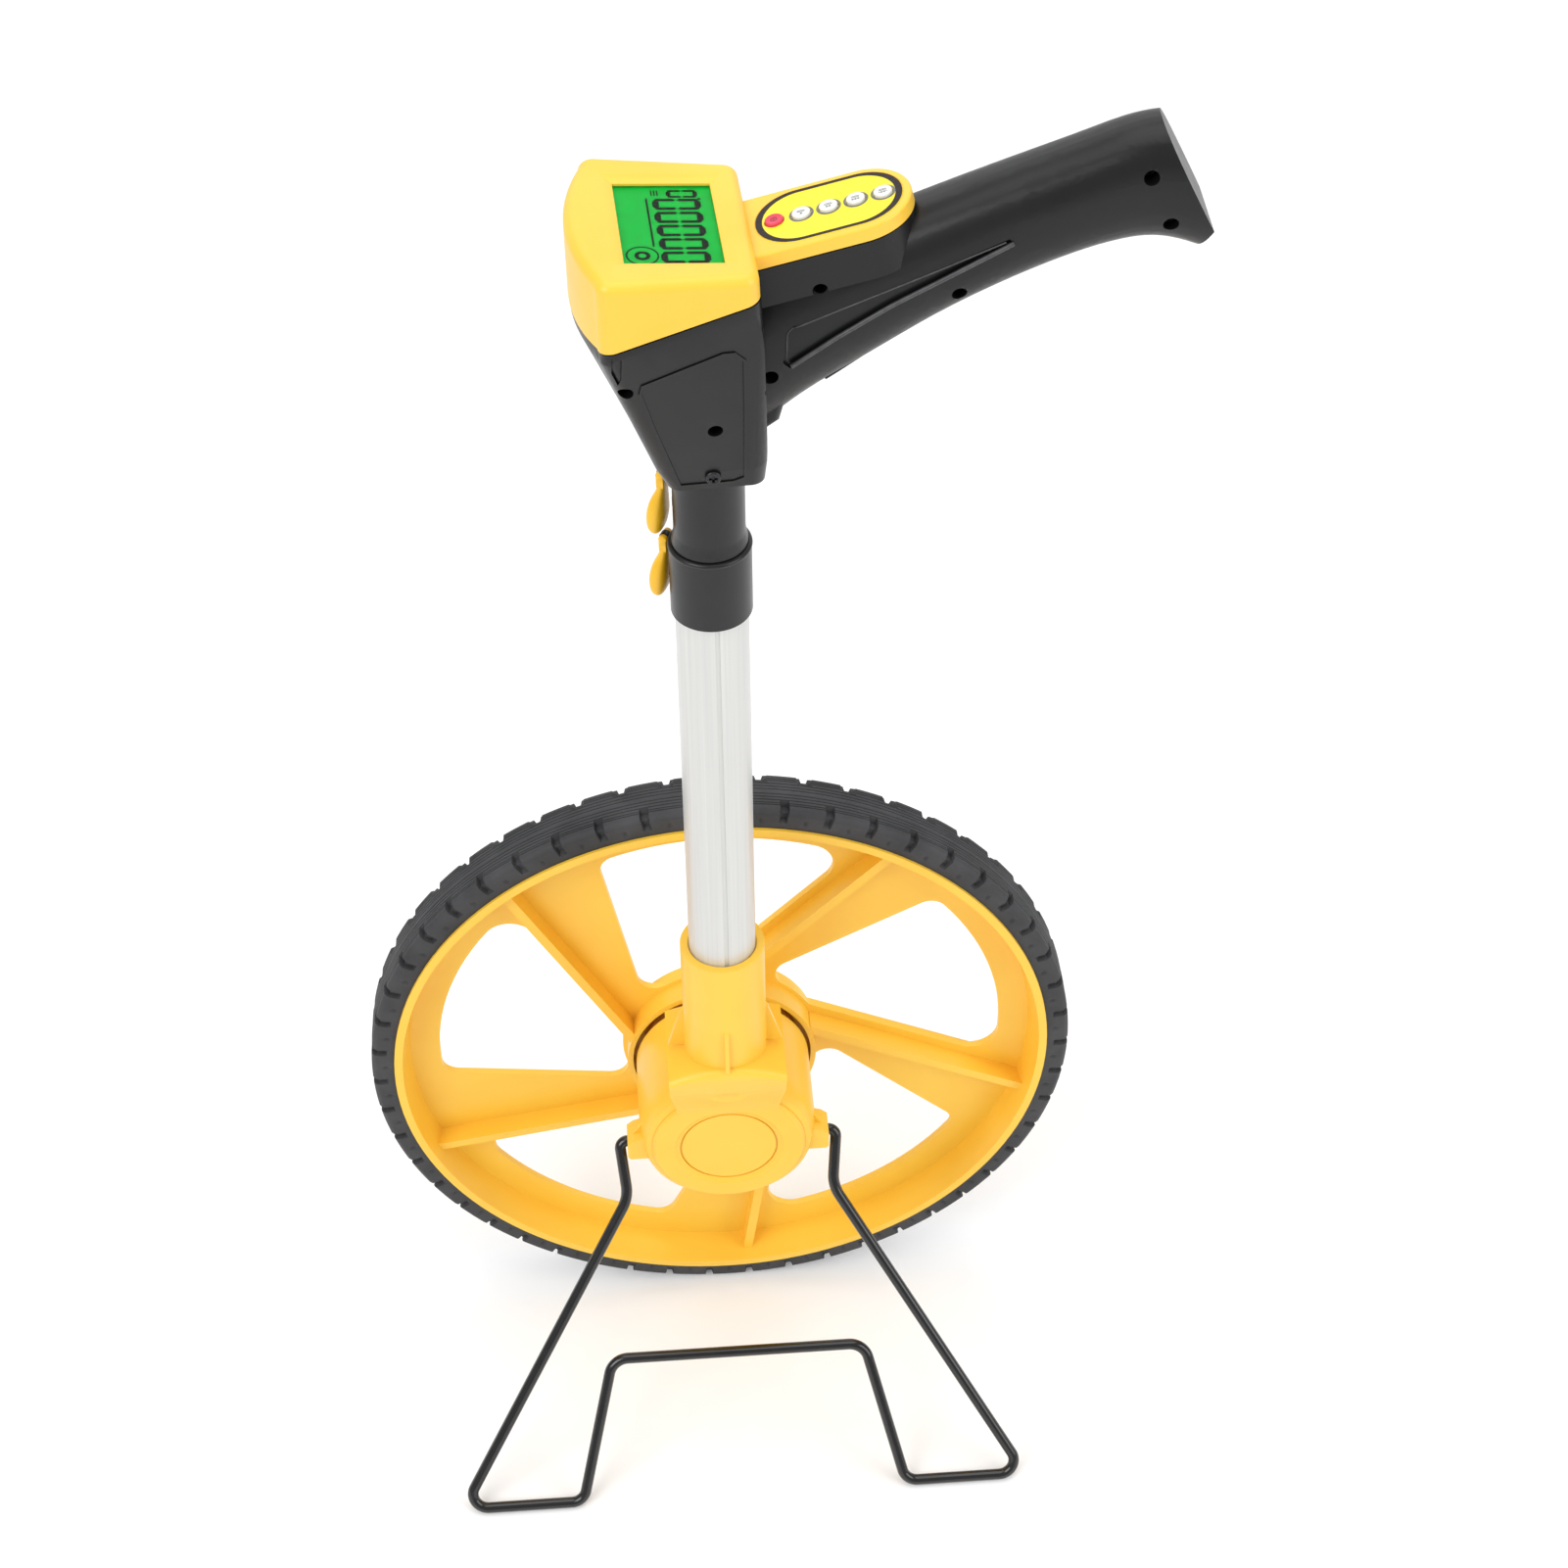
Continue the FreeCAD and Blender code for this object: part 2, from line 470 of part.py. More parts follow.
def make_lever(z):
    """Flip lever: a forked neck on its pin, and a drop-shaped thumb tab below."""
    outline = []
    for degrees in (15, 55, 90, 125, 165):
        a = math.radians(degrees)
        outline.append((LEVER_HEAD_R * math.cos(a), LEVER_HEAD_R * math.sin(a)))
    outline += [(-1.7, -4.0), (-2.1, -6.5), (-3.7, -10.0), (-5.5, -15.0), (-6.1, -19.8), (-5.7, -24.0),
                (-4.0, -27.0), (-1.6, -26.4), (0.3, -22.8), (1.0, -18.0), (1.1, -10.5), (1.5, -4.0)]
    curve = Part.BSplineCurve()
    curve.interpolate([V(x - LEVER_PIVOT_R, -7, up + z) for x, up in outline], PeriodicFlag=True)
    body = Part.Face(Part.Wire(curve.toShape())).extrude(V(0, 14, 0))
    # Seen from outside, the tab is narrow at the pivot and round at its tip.
    half = [(3.3, 5), (3.3, -5.5), (4.5, -9.5), (5.9, -14.5), (6.3, -19), (5.6, -24), (3.3, -27.4)]
    plan = half + [(-y, up) for y, up in reversed(half)]
    low, high = -LEVER_PIVOT_R - 12, -LEVER_PIVOT_R + 6
    trim = rounded(prism_yz([(y, up + z) for y, up in plan], low, high), 1.4,
                   lambda e: runs_along(e, V(1, 0, 0)))
    slot = box(low, high, -LUG_HALF - 0.2, LUG_HALF + 0.2, z - 3.9, z + 5)
    pin_way = cyl_y(-LEVER_PIVOT_R, z, PIN_R + 0.05, -PIN_HALF - 0.05, PIN_HALF + 0.05)
    return beside_pole(body.common(trim).cut(slot).cut(pin_way))


def lever_seat(z, core_r):
    """The lug that holds the lever's pin, its hole, and the window that the shoe sits in."""
    r = LEVER_PIVOT_R
    lug = prism_xz([(-core_r + 0.8, z - 6.0), (-r + 1.9, z - 3.6), (-r + 0.3, z - 2.0),
                    (-r + 0.3, z + 1.9), (-core_r + 0.8, z - 1.7)], -LUG_HALF, LUG_HALF)
    lug = lug.fuse(cyl_y(-r, z, 2.0, -LUG_HALF, LUG_HALF))
    pin_way = cyl_y(-r, z, PIN_R + 0.02, -6, 6)
    window = box(-core_r - 3, -9, -3.0, 3.0, z - 12.6, z - 8.0)
    return [beside_pole(s) for s in (lug, pin_way, window)]


def make_clamp_parts(z, tube_r, outer_r, prefix):
    shoe = box(-outer_r - 0.1, -tube_r + 3, -2.8, 2.8, z - 12.4, z - 8.2)
    shoe = shoe.cut(cyl_z(tube_r + 0.4, z - 14, z))
    save(beside_pole(shoe), prefix + "_clamp_shoe")
    save(beside_pole(cyl_y(-LEVER_PIVOT_R, z, PIN_R, -PIN_HALF, PIN_HALF)), prefix + "_lever_pin")
    save(make_lever(z), prefix + "_lever")


def make_pole():
    groove = turned(box(-0.9, 0.9, -OUTER_R - 1, -OUTER_R + 0.55, 200, OUTER_TOP + 1), 5.0)
    outer = tube_z(OUTER_R, OUTER_R - OUTER_WALL, SOCKET_Z, OUTER_TOP).cut(groove)
    outer = outer.cut(cyl_y(0, 232, 1.55, 5, 20))
    save(outer, "outer_tube")

    collar = cyl_z(COLLAR_R, COLLAR_BOTTOM, COLLAR_TOP)
    lip = Part.makeTorus(COLLAR_R - 0.9, 1.2, V(0, 0, COLLAR_TOP - 0.6), V(0, 0, 1))
    pivot_z = LEVER_PIVOT_Z
    lug, pin_way, window = lever_seat(pivot_z, COLLAR_R)
    collar = collar.fuse(lip).fuse(lug)
    bore = fuse_all([cyl_z(OUTER_R + 0.02, COLLAR_BOTTOM - 1, OUTER_TOP),
                     cyl_z(MIDDLE_R + 0.4, COLLAR_BOTTOM, COLLAR_TOP),
                     cyl_z(UPPER_COLLAR_R + 0.45, UPPER_COLLAR_BOTTOM - 0.6, COLLAR_TOP + 0.7)])
    save(collar.cut(bore).cut(pin_way).cut(window).removeSplitter(), "lower_collar")
    make_clamp_parts(pivot_z, MIDDLE_R, COLLAR_R, "lower")

    middle = tube_z(MIDDLE_R, MIDDLE_R - MIDDLE_WALL, MIDDLE_BOTTOM, MIDDLE_TOP)
    save(middle, "middle_tube")
    guide = tube_z(OUTER_R - OUTER_WALL - 0.08, INNER_R - INNER_WALL, MIDDLE_BOTTOM - 8, MIDDLE_BOTTOM)
    save(guide, "middle_tube_guide")
    upper = cyl_z(UPPER_COLLAR_R, UPPER_COLLAR_BOTTOM, UPPER_COLLAR_TOP)
    upper = rounded(upper, 0.8, lambda e: e.BoundBox.ZMin > UPPER_COLLAR_TOP - 1)
    flare = COLLAR_TOP + 0.9
    upper = upper.fuse(cyl_z(UPPER_COLLAR_R + 0.9, flare, flare + 0.8))
    upper = upper.fuse(Part.makeCone(UPPER_COLLAR_R + 0.9, UPPER_COLLAR_R, 5.0, V(0, 0, flare + 0.8)))
    pivot_z = LEVER_PIVOT_Z + LEVER_STEP
    lug, pin_way, window = lever_seat(pivot_z, UPPER_COLLAR_R)
    upper = upper.fuse(lug)
    bore = cyl_z(MIDDLE_R + 0.02, UPPER_COLLAR_BOTTOM - 1, MIDDLE_TOP)
    bore = bore.fuse(cyl_z(INNER_R + 0.4, UPPER_COLLAR_BOTTOM, UPPER_COLLAR_TOP + 1))
    save(upper.cut(bore).cut(pin_way).cut(window).removeSplitter(), "upper_collar")
    make_clamp_parts(pivot_z, INNER_R, UPPER_COLLAR_R, "upper")

    inner = tube_z(INNER_R, INNER_R - INNER_WALL, INNER_BOTTOM, INNER_TOP)
    save(inner.cut(cyl_y(NECK_SCREW[0], NECK_SCREW[1], 1.75, -20, 20)), "inner_tube")
    guide = tube_z(MIDDLE_R - MIDDLE_WALL - 0.08, INNER_R - INNER_WALL - 1.5, INNER_BOTTOM - 8,
                   INNER_BOTTOM)
    save(guide, "inner_tube_guide")


# ---------------------------------------------------------------- head
def seam_z(x):
    return SEAM_LEFT_Z + SEAM_SLOPE * (x - HEAD_LEFT)


def top_z(x):
    return TOP_Z + TOP_SLOPE * (x - LCD_X[0])


def head_section(inset, z, left, right, half_left, half_right, bow):
    """A rounded quadrilateral seen from above, with its nose side bowed outwards."""
    r = 5.5 - inset
    xl, xr = left + inset, right - inset
    yl, yr = half_left - inset, half_right - inset
    k = r * (1 - math.sqrt(0.5))
    edges = []
    for side in (-1, 1):
        start, end = V(xl + r, side * yl, z), V(xr - r, side * yr, z)
        run = [Part.Arc(V(xl, side * (yl - r), z), V(xl + k, side * (yl - k), z), start),
               Part.LineSegment(start, end),
               Part.Arc(end, V(xr - k, side * (yr - k), z), V(xr, side * (yr - r), z))]
        if side > 0:
            run = [Part.LineSegment(V(xr, -(yr - r), z), V(xr, yr - r, z))] + run[::-1]
            run.append(Part.Arc(V(xl, yl - r, z), V(xl - bow, 0, z), V(xl, -(yl - r), z)))
        edges += [c.toShape() for c in run]
    return Part.Wire(Part.sortEdges(edges)[0])


def head_block(inset):
    """The head's outline as a drafted block with a plain top, square to the tilted crown."""
    top = -CROWN_R if inset == 0 else -inset
    left, right, half_left, half_right, bow = HEAD_PLAN
    low = head_section(inset - 2.4, -120.0, left + HEAD_LEAN, right + HEAD_LEAN, half_left, half_right, bow)
    return Part.makeLoft([low, head_section(inset, top, *HEAD_PLAN)], True, True)


def head_crown():
    """The rounded top edge, as a stack of sections along a quarter circle."""
    steps = []
    for i in range(6):
        t = i * math.pi / 10
        steps.append(head_section(CROWN_R * (1 - math.cos(t)), CROWN_R * (math.sin(t) - 1),
                                  *HEAD_PLAN))
    return Part.makeLoft(steps, True, False)


def on_top(shape):
    """Moves a shape drawn under z = 0 to lie under the head's tilted top."""
    shape = turned(shape, -math.degrees(math.atan(TOP_SLOPE)), V(0, 0, 0), V(0, 1, 0))
    shape.translate(V(0, 0, top_z(0)))
    return shape


def head_lower(inset, gap=0.0):
    """The black funnel, up to a gap below the seam."""
    walls = Part.makeLoft([head_section(inset, *s) for s in FUNNEL], True, True)
    low, high = HEAD_LEFT - 16, HEAD_RIGHT + 6
    below = prism_xz([(low, 500), (high, 500), (high, seam_z(high) - gap), (low, seam_z(low) - gap)],
                     -50, 50)
    return turned(walls.common(below).common(on_top(head_block(inset + SEAM_STEP))), HEAD_TURN)


def head_upper(inset):
    """The yellow block above the seam."""
    low, high = HEAD_LEFT - 16, HEAD_RIGHT + 6
    above = prism_xz([(low, seam_z(low)), (high, seam_z(high)), (high, 700), (low, 700)], -50, 50)
    block = head_block(inset)
    if inset == 0:
        block = block.fuse(head_crown())
    return turned(on_top(block).common(above), HEAD_TURN)


def pad_place(shape):
    """Moves a shape drawn flat at the origin onto the tilted keypad."""
    shape = turned(shape, -PAD_TILT, V(0, 0, 0), V(0, 1, 0))
    shape.translate(PAD_CENTRE)
    return shape


def stadium(start, end, half, z0, z1):
    """A flat bar with one round end."""
    bar = box(start, end, -half, half, z0, z1)
    return bar.fuse(cyl_z(half, z0, z1, end)).removeSplitter()


def oval(half_length, half_width, z0, z1):
    mid = half_length - half_width
    bar = box(-mid, mid, -half_width, half_width, z0, z1)
    ends = [cyl_z(half_width, z0, z1, mid), cyl_z(half_width, z0, z1, -mid)]
    return fuse_all([bar] + ends)


def handle_section(station, inset):
    x, z, high, wide, slope = station
    a = math.radians(slope)
    up = V(-math.sin(a), 0, math.cos(a))
    points = []
    for i in range(SECTION_POINTS):
        t = 2 * math.pi * i / SECTION_POINTS
        c, s = math.cos(t), math.sin(t)
        across = math.copysign(abs(c) ** (2 / HANDLE_POWER), c) * (wide - inset)
        rise = math.copysign(abs(s) ** (2 / HANDLE_POWER), s) * (high - inset)
        points.append(V(x, 0, z) + V(0, across, 0) + up * rise)
    curve = Part.BSplineCurve()
    curve.interpolate(points, PeriodicFlag=True)
    return Part.Wire(curve.toShape())


def handle_solid(inset, first=0):
    body = Part.makeLoft([handle_section(s, inset) for s in HANDLE[first:]], True, False)
    way = V(0.893, 0, 0.449)
    end = V(172.6, 0, 627.6) - way * inset
    keep = prism_xz([(-40, 500), (end.x + 5.6, 500), (end.x - 5.8, end.z - 11.2), (end.x, end.z),
                     (end.x - 0.503 * 60, end.z + 60), (-40, 700)], -60, 60)
    return body.common(keep)


def handle_panel():
    """The long tapering recess on each side of the handle."""
    outline = [(26.4, 585.0), (27.0, 597.0), (30.5, 600.0), (57.1, 610.6), (81.5, 620.4),
               (103.0, 629.4), (105.0, 627.0), (81.6, 614.6), (63.3, 605.0), (44.9, 593.5),
               (29.0, 582.6)]
    return prism_xz(outline, -30, 30)


def battery_door_cut(gap):
    """The block of space that the battery door takes from the handle's underside."""
    block = box(-23.0 - gap, 23.0 + gap, -10.5 - gap, 10.5 + gap, -14, 3.6 + gap)
    block.rotate(V(0, 0, 0), V(0, 1, 0), -31.5)
    block.translate(V(62.0, 0, 583.2))
    return block


def pod_taper():
    """The pod under the keypad draws in below its round end."""
    profile = [(-31, -PAD_WALL - 1), (18.5, -PAD_WALL - 1), (22.5, -16.5), (26.0, -11.0), (28.6, -4.0),
               (28.6, 0), (-31, 0)]
    return prism_xz(profile, -PAD_HALF - 1, PAD_HALF + 1)


def side_bead():
    """The raised line round the field on each side of the funnel."""
    outline = face_of([V(x, -50, z) for x, z in SIDE_PANEL])
    ring = outline.makeOffset2D(0.0).cut(outline.makeOffset2D(-PANEL_LINE))
    return ring.extrude(V(0, 100, 0))


def make_housings():
    funnel = head_lower(0.0, SEAM_GAP).fuse(head_lower(SEAM_TONGUE))
    pod = stadium(-30, PAD_END, PAD_HALF - 0.2, -PAD_WALL, -PAD_SKIN - SEAM_GAP)
    tongue = stadium(-30, PAD_END, PAD_HALF - SEAM_TONGUE, -PAD_WALL + 1, -PAD_SKIN - 0.05)
    pod = pad_place(pod.common(pod_taper()).fuse(tongue.common(pod_taper())))
    chin = prism_xz([(10, 551), (18.5, 551.8), (25.4, 557.0), (27.5, 565.0), (34, 575), (10, 590)],
                    -13.5, 13.5)
    chin = rounded(chin, 3.0, lambda e: e.BoundBox.ZLength > 5 and e.BoundBox.XMax > 20)
    handle = handle_solid(0.0)
    skin_block = pad_place(box(-40, 60, -60, 60, -PAD_SKIN, 60))
    skin_block = skin_block.common(stadium_column())
    panel = side_bead().common(head_lower(-PANEL_RISE, SEAM_GAP))
    notch = prism_xz(SIDE_NOTCH, -50, 50).cut(head_lower(0.9))
    outer = fuse_all([funnel, panel, pod, chin, handle]).cut(head_upper(-0.05)).cut(skin_block).cut(notch)

    hollow = fuse_all([head_lower(WALL), handle_solid(WALL, 1),
                       pad_place(stadium(-30, PAD_END, PAD_HALF - 3.0, -PAD_WALL + 2,
                                         -PAD_SKIN + 1))])
    hollow = hollow.cut(box(-60, 60, -60, 60, 500, HEAD_FLOOR + WALL))
    post = box(-14.4, 14.2, -16, 16, HEAD_FLOOR, INNER_TOP)
    hollow = hollow.cut(post)
    for x, z in HOUSING_SCREWS:
        hollow = hollow.cut(cyl_y(x, z, SCREW_BOSS_R, -50, 50))
    recess = handle_panel().cut(handle_solid(PANEL_DEPTH, 1)).cut(box(-60, 24, -60, 60, 500, 700))
    outer = outer.cut(recess)
    shell = outer.cut(hollow).cut(cyl_z(INNER_R + 0.02, 500, INNER_TOP + 0.1))
    shell = shell.cut(battery_door_cut(0.45))
    near = shell.common(box(-80, 220, -60, 0, 500, 700))
    far = shell.common(box(-80, 220, 0, 60, 500, 700))
    for x, z in HOUSING_SCREWS:
        near = near.cut(cyl_y(x, z, SCREW_HOLE_R, -50, -8.0))
        near = near.cut(cyl_y(x, z, 1.6, -10, 1))
        far = far.cut(cyl_y(x, z, 1.3, -1, 8.2))
    x, z = NECK_SCREW
    near = near.cut(cyl_y(x, z, SCREW_HOLE_R + 0.2, -40, -21.3)).cut(cyl_y(x, z, 1.7, -40, 1))
    far = far.cut(cyl_y(x, z, 1.55, -1, 16.0))
    save(biggest(near), "housing_near")
    save(biggest(far), "housing_far")
    screws = [make_screw(x, z, -10.0, 8.0, 2.5, 1.25) for x, z in HOUSING_SCREWS]
    save(Part.makeCompound(screws), "housing_screws")
    save(make_screw(x, z, -23.3, 15.8, 2.8, 1.5), "neck_screw")

    door = handle_solid(0.05, 1).cut(handle_solid(WALL - 0.3, 1)).common(battery_door_cut(0.0))
    save(biggest(door), "battery_door")


def biggest(shape):
    return max(shape.Solids, key=lambda s: s.Volume)


def stadium_column():
    return pad_place(stadium(-60, PAD_END, PAD_HALF + 0.3, -10, 80))


def make_display_cover():
    block = head_upper(0.0)
    pad = stadium(-32, PAD_END, PAD_HALF, -PAD_SKIN, 0)
    pad = rounded(pad, 1.2, lambda e: e.BoundBox.ZMin > -0.01 and e.BoundBox.XMax > -31)
    cover = block.fuse(pad_place(pad))
    pad_inner = pad_place(stadium(-24, PAD_END - 1, PAD_HALF - 3.0, -PAD_SKIN - 1, -2.4))
    cover = cover.cut(head_upper(WALL)).cut(pad_inner)
    tilt = math.degrees(math.atan(TOP_SLOPE))
    mid = (LCD_X[0] + LCD_X[1]) / 2
    half = (LCD_X[1] - LCD_X[0]) / 2
    window = box(-half, half, -LCD_HALF_Y, LCD_HALF_Y, -10, 10)
    rim = 4.6
    low = Part.makePolygon([V(-half, -LCD_HALF_Y, -LCD_DROP), V(half, -LCD_HALF_Y, -LCD_DROP),
                            V(half, LCD_HALF_Y, -LCD_DROP), V(-half, LCD_HALF_Y, -LCD_DROP),
                            V(-half, -LCD_HALF_Y, -LCD_DROP)])
    hx, hy = half + rim, LCD_HALF_Y + rim
    high = Part.makePolygon([V(-hx, -hy, 0.4), V(hx, -hy, 0.4), V(hx, hy, 0.4), V(-hx, hy, 0.4),
                             V(-hx, -hy, 0.4)])
    bevel = Part.makeLoft([low, high], True, True)
    for tool in (window, bevel):
        tool = turned(tool, -tilt, V(0, 0, 0), V(0, 1, 0))
        tool.translate(V(mid, 0, top_z(mid)))
        cover = cover.cut(turned(tool, HEAD_TURN))
    for i in range(-2, 3):
        cover = cover.cut(pad_place(cyl_z(BUTTON_R + 0.35, -12, 5, i * BUTTON_STEP)))
    label_seat = pad_place(oval(25.9, 15.6, -0.35, 3))
    return cover.cut(label_seat)


def make_display():
    tilt = math.degrees(math.atan(TOP_SLOPE))
    mid = (LCD_X[0] + LCD_X[1]) / 2

    def seat(shape):
        shape = turned(shape, -tilt, V(0, 0, 0), V(0, 1, 0))
        shape.translate(V(mid, 0, top_z(mid)))
        return turned(shape, HEAD_TURN)

    low = -WALL - 0.05
    save(seat(box(-19.5, 19.5, -28, 28, low - 0.45, low)), "display_window")
    save(seat(box(-18.5, 18.5, -27, 27, low - 4.0, low - 0.5)), "display_module")
    save(seat(box(-20, 20, -31, 31, low - 6.0, low - 4.05)), "display_board")
    board = pad_place(oval(23.6, 12.5, -6.6, -5.2))
    save(board, "keypad_board")
    label = pad_place(oval(25.7, 15.4, -0.33, 0.05))
    for i in range(-2, 3):
        label = label.cut(pad_place(cyl_z(BUTTON_R + 0.35, -5, 5, i * BUTTON_STEP)))
    save(label, "keypad_label")
    for i, name in zip(range(-2, 3), BUTTONS):
        cap = cyl_z(BUTTON_R, -2.6, 1.1, i * BUTTON_STEP)
        cap = rounded(cap, 0.5, lambda e: e.BoundBox.ZMin > 1.0)
        cap = cap.fuse(cyl_z(BUTTON_R + 0.8, -4.0, -2.5, i * BUTTON_STEP))
        save(pad_place(cap), name)


def make_batteries():
    """Four small cells in the handle, in two pairs end to end."""
    a = math.radians(24.0)
    way = V(math.cos(a), 0, math.sin(a))
    cells = []
    for i, x in enumerate((74.0, 116.0)):
        start = V(x, 0, 614.0 + (x - 74.0) * math.tan(a)) - way * 20
        can = Part.makeCylinder(5.2, 38.0, start, way)
        nub = Part.makeCylinder(1.9, 1.0, start + way * 38.0, way)
        for side in (-1, 1):
            cell = can.fuse(nub)
            cell.translate(V(0, side * 5.6, 0))
            cells.append(cell)
    save(Part.makeCompound(cells), "batteries")


def main():
    os.makedirs("parts", exist_ok=True)
    make_wheel()
    make_hub()
    make_stand()
    make_pole()
    make_housings()
    save(make_display_cover(), "display_cover")
    make_display()
    make_batteries()


main()
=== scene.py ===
import json
import math

import bmesh
import bpy
from mathutils import Matrix, Vector
from mathutils.bvhtree import BVHTree
from mathutils.geometry import delaunay_2d_cdt

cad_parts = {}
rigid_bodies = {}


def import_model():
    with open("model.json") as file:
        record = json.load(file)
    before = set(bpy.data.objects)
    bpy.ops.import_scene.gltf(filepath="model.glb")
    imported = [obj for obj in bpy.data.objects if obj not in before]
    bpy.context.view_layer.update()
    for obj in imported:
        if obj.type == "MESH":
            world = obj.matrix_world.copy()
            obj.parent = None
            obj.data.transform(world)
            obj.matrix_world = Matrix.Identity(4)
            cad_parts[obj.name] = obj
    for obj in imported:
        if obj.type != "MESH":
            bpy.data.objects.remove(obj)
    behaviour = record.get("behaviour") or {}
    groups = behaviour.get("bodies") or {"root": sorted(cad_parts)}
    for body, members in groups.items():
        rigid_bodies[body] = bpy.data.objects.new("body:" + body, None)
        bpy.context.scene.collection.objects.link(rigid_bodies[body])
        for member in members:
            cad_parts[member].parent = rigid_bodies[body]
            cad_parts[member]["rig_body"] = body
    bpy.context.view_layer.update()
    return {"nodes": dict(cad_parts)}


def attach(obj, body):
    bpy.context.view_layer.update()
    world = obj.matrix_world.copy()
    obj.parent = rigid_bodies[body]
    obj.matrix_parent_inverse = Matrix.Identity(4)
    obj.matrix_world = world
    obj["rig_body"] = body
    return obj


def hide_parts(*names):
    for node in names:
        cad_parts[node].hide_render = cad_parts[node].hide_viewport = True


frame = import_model()
MM = 0.001
scene = bpy.context.scene

# ---------------------------------------------------------------- sizes, in millimetres
WHEEL_R = 500.0 / math.pi       # one metre around
AXLE = Vector((0.0, 0.0, WHEEL_R))
TYRE_FRONT, TYRE_BACK, TYRE_SEAT_R = 41.2, 65.0, 148.72
NOTCHES = 50                    # slots over each shoulder of the tyre
STAND_HINGE_Y, STAND_HINGE_Z, STAND_FOOT_Y = 2.5, 154.0, -84.0
WIRE_R = 2.5
LEVER_SIDE = -25.0              # degrees round the pole
LEVER_PIVOT_R = 17.9            # the pins' distance from the pole's axis
LOWER_LEVER_Z, UPPER_LEVER_Z = 492.4, 521.9
HEAD_TURN = 3.0                 # the head stands this many degrees round the pole
TOP_Z, TOP_SLOPE, TOP_EDGE_X = 635.2, 0.08, -27.7
SCREEN_X = -10.85
PAD_X, PAD_Z, PAD_TILT = 43.35, 635.2, -14.2
BUTTON_STEP, BUTTON_R = 9.47, 3.25


# ---------------------------------------------------------------- materials
class Nodes:
    """A short way to write a node tree."""

    def __init__(self, name):
        self.material = bpy.data.materials.new(name)
        self.material.use_nodes = True
        self.tree = self.material.node_tree
        self.shader = self.tree.nodes["Principled BSDF"]
        self.place = self.add("ShaderNodeTexCoord").outputs["Object"]

    def add(self, kind):
        return self.tree.nodes.new(kind)

    def put(self, node, socket, value):
        if isinstance(value, bpy.types.NodeSocket):
            self.tree.links.new(value, node.inputs[socket])
        else:
            node.inputs[socket].default_value = value
        return node

    def noise(self, scale, detail=3.0, rough=0.55, stretch=None):
        node = self.add("ShaderNodeTexNoise")
        where = self.place
        if stretch:
            mapping = self.add("ShaderNodeMapping")
            self.put(mapping, "Vector", where)
            self.put(mapping, "Scale", stretch)
            where = mapping.outputs["Vector"]
        self.put(node, "Vector", where)
        self.put(node, "Scale", scale)
        self.put(node, "Detail", detail)
        self.put(node, "Roughness", rough)
        return node.outputs["Fac"]

    def ramp(self, value, low, high):
        node = self.add("ShaderNodeValToRGB")
        for element, place, colour in zip(node.color_ramp.elements, (0.3, 0.7), (low, high)):
            element.position = place
            element.color = colour
        self.put(node, "Fac", value)
        return node.outputs["Color"]

    def spread(self, value, low, high):
        node = self.add("ShaderNodeMapRange")
        self.put(node, "Value", value)
        self.put(node, "To Min", low)
        self.put(node, "To Max", high)
        return node.outputs["Result"]

    def bump(self, height, strength, distance, normal=None):
        node = self.add("ShaderNodeBump")
        self.put(node, "Strength", strength)
        self.put(node, "Distance", distance)
        self.put(node, "Height", height)
        if normal is not None:
            self.put(node, "Normal", normal)
        return node.outputs["Normal"]

    def finish(self, **sockets):
        for key, value in sockets.items():
            self.put(self.shader, key.replace("_", " "), value)
        return self.material


def linear(r, g, b):
    """An sRGB colour, 0 to 255, as the linear values that shaders take."""
    out = []
    for c in (r, g, b):
        c /= 255.0
        out.append(c / 12.92 if c <= 0.04045 else ((c + 0.055) / 1.055) ** 2.4)
    return (*out, 1.0)


def moulded(name, dark, light, rough, grain, grain_height, shine=0.5):
    """Moulded plastic: slow colour drift, fine spark-eroded grain, uneven gloss."""
    n = Nodes(name)
    drift = n.noise(22.0, 2.0)
    fine = n.noise(grain, 2.0, 0.6)
    cloud = n.noise(160.0, 4.0)
    normal = n.bump(fine, 0.35, grain_height)
    normal = n.bump(cloud, 0.08, 0.0002, normal)
    return n.finish(Base_Color=n.ramp(drift, dark, light), Roughness=n.spread(cloud, *rough),
                    Normal=normal, Specular_IOR_Level=shine)


def metal(name, dark, light, rough, metallic=1.0):
    """Plated metal: a fine mottle in its colour, gloss and surface."""
    n = Nodes(name)
    mottle = n.noise(300.0, 3.0, 0.6)
    return n.finish(Base_Color=n.ramp(mottle, dark, light), Metallic=metallic,
                    Roughness=n.spread(mottle, *rough), Normal=n.bump(mottle, 0.15, 0.00001))


YELLOW = moulded("yellow_plastic", linear(247, 195, 60), linear(250, 203, 70), (0.32, 0.42), 900.0,
                 0.00002)
BLACK = moulded("black_plastic", linear(18, 18, 19), linear(25, 25, 26), (0.28, 0.38), 1300.0, 0.00003, 0.34)
COLLAR = moulded("collar_plastic", linear(26, 26, 28), linear(34, 34, 36), (0.26, 0.36), 1500.0, 0.00002, 0.4)


def make_rubber():
    """Matt rubber: dusty colour, scuffed gloss."""
    n = Nodes("tyre_rubber")
    fine = n.noise(900.0, 4.0, 0.65)
    dust = n.noise(60.0, 5.0, 0.6)
    scuff = n.noise(240.0, 3.0, 0.6)
    normal = n.bump(fine, 0.5, 0.00006)
    normal = n.bump(scuff, 0.15, 0.0003, normal)
    return n.finish(Base_Color=n.ramp(dust, linear(48, 48, 50), linear(66, 66, 68)), Normal=normal,
                    Roughness=n.spread(scuff, 0.52, 0.72), Specular_IOR_Level=0.4)


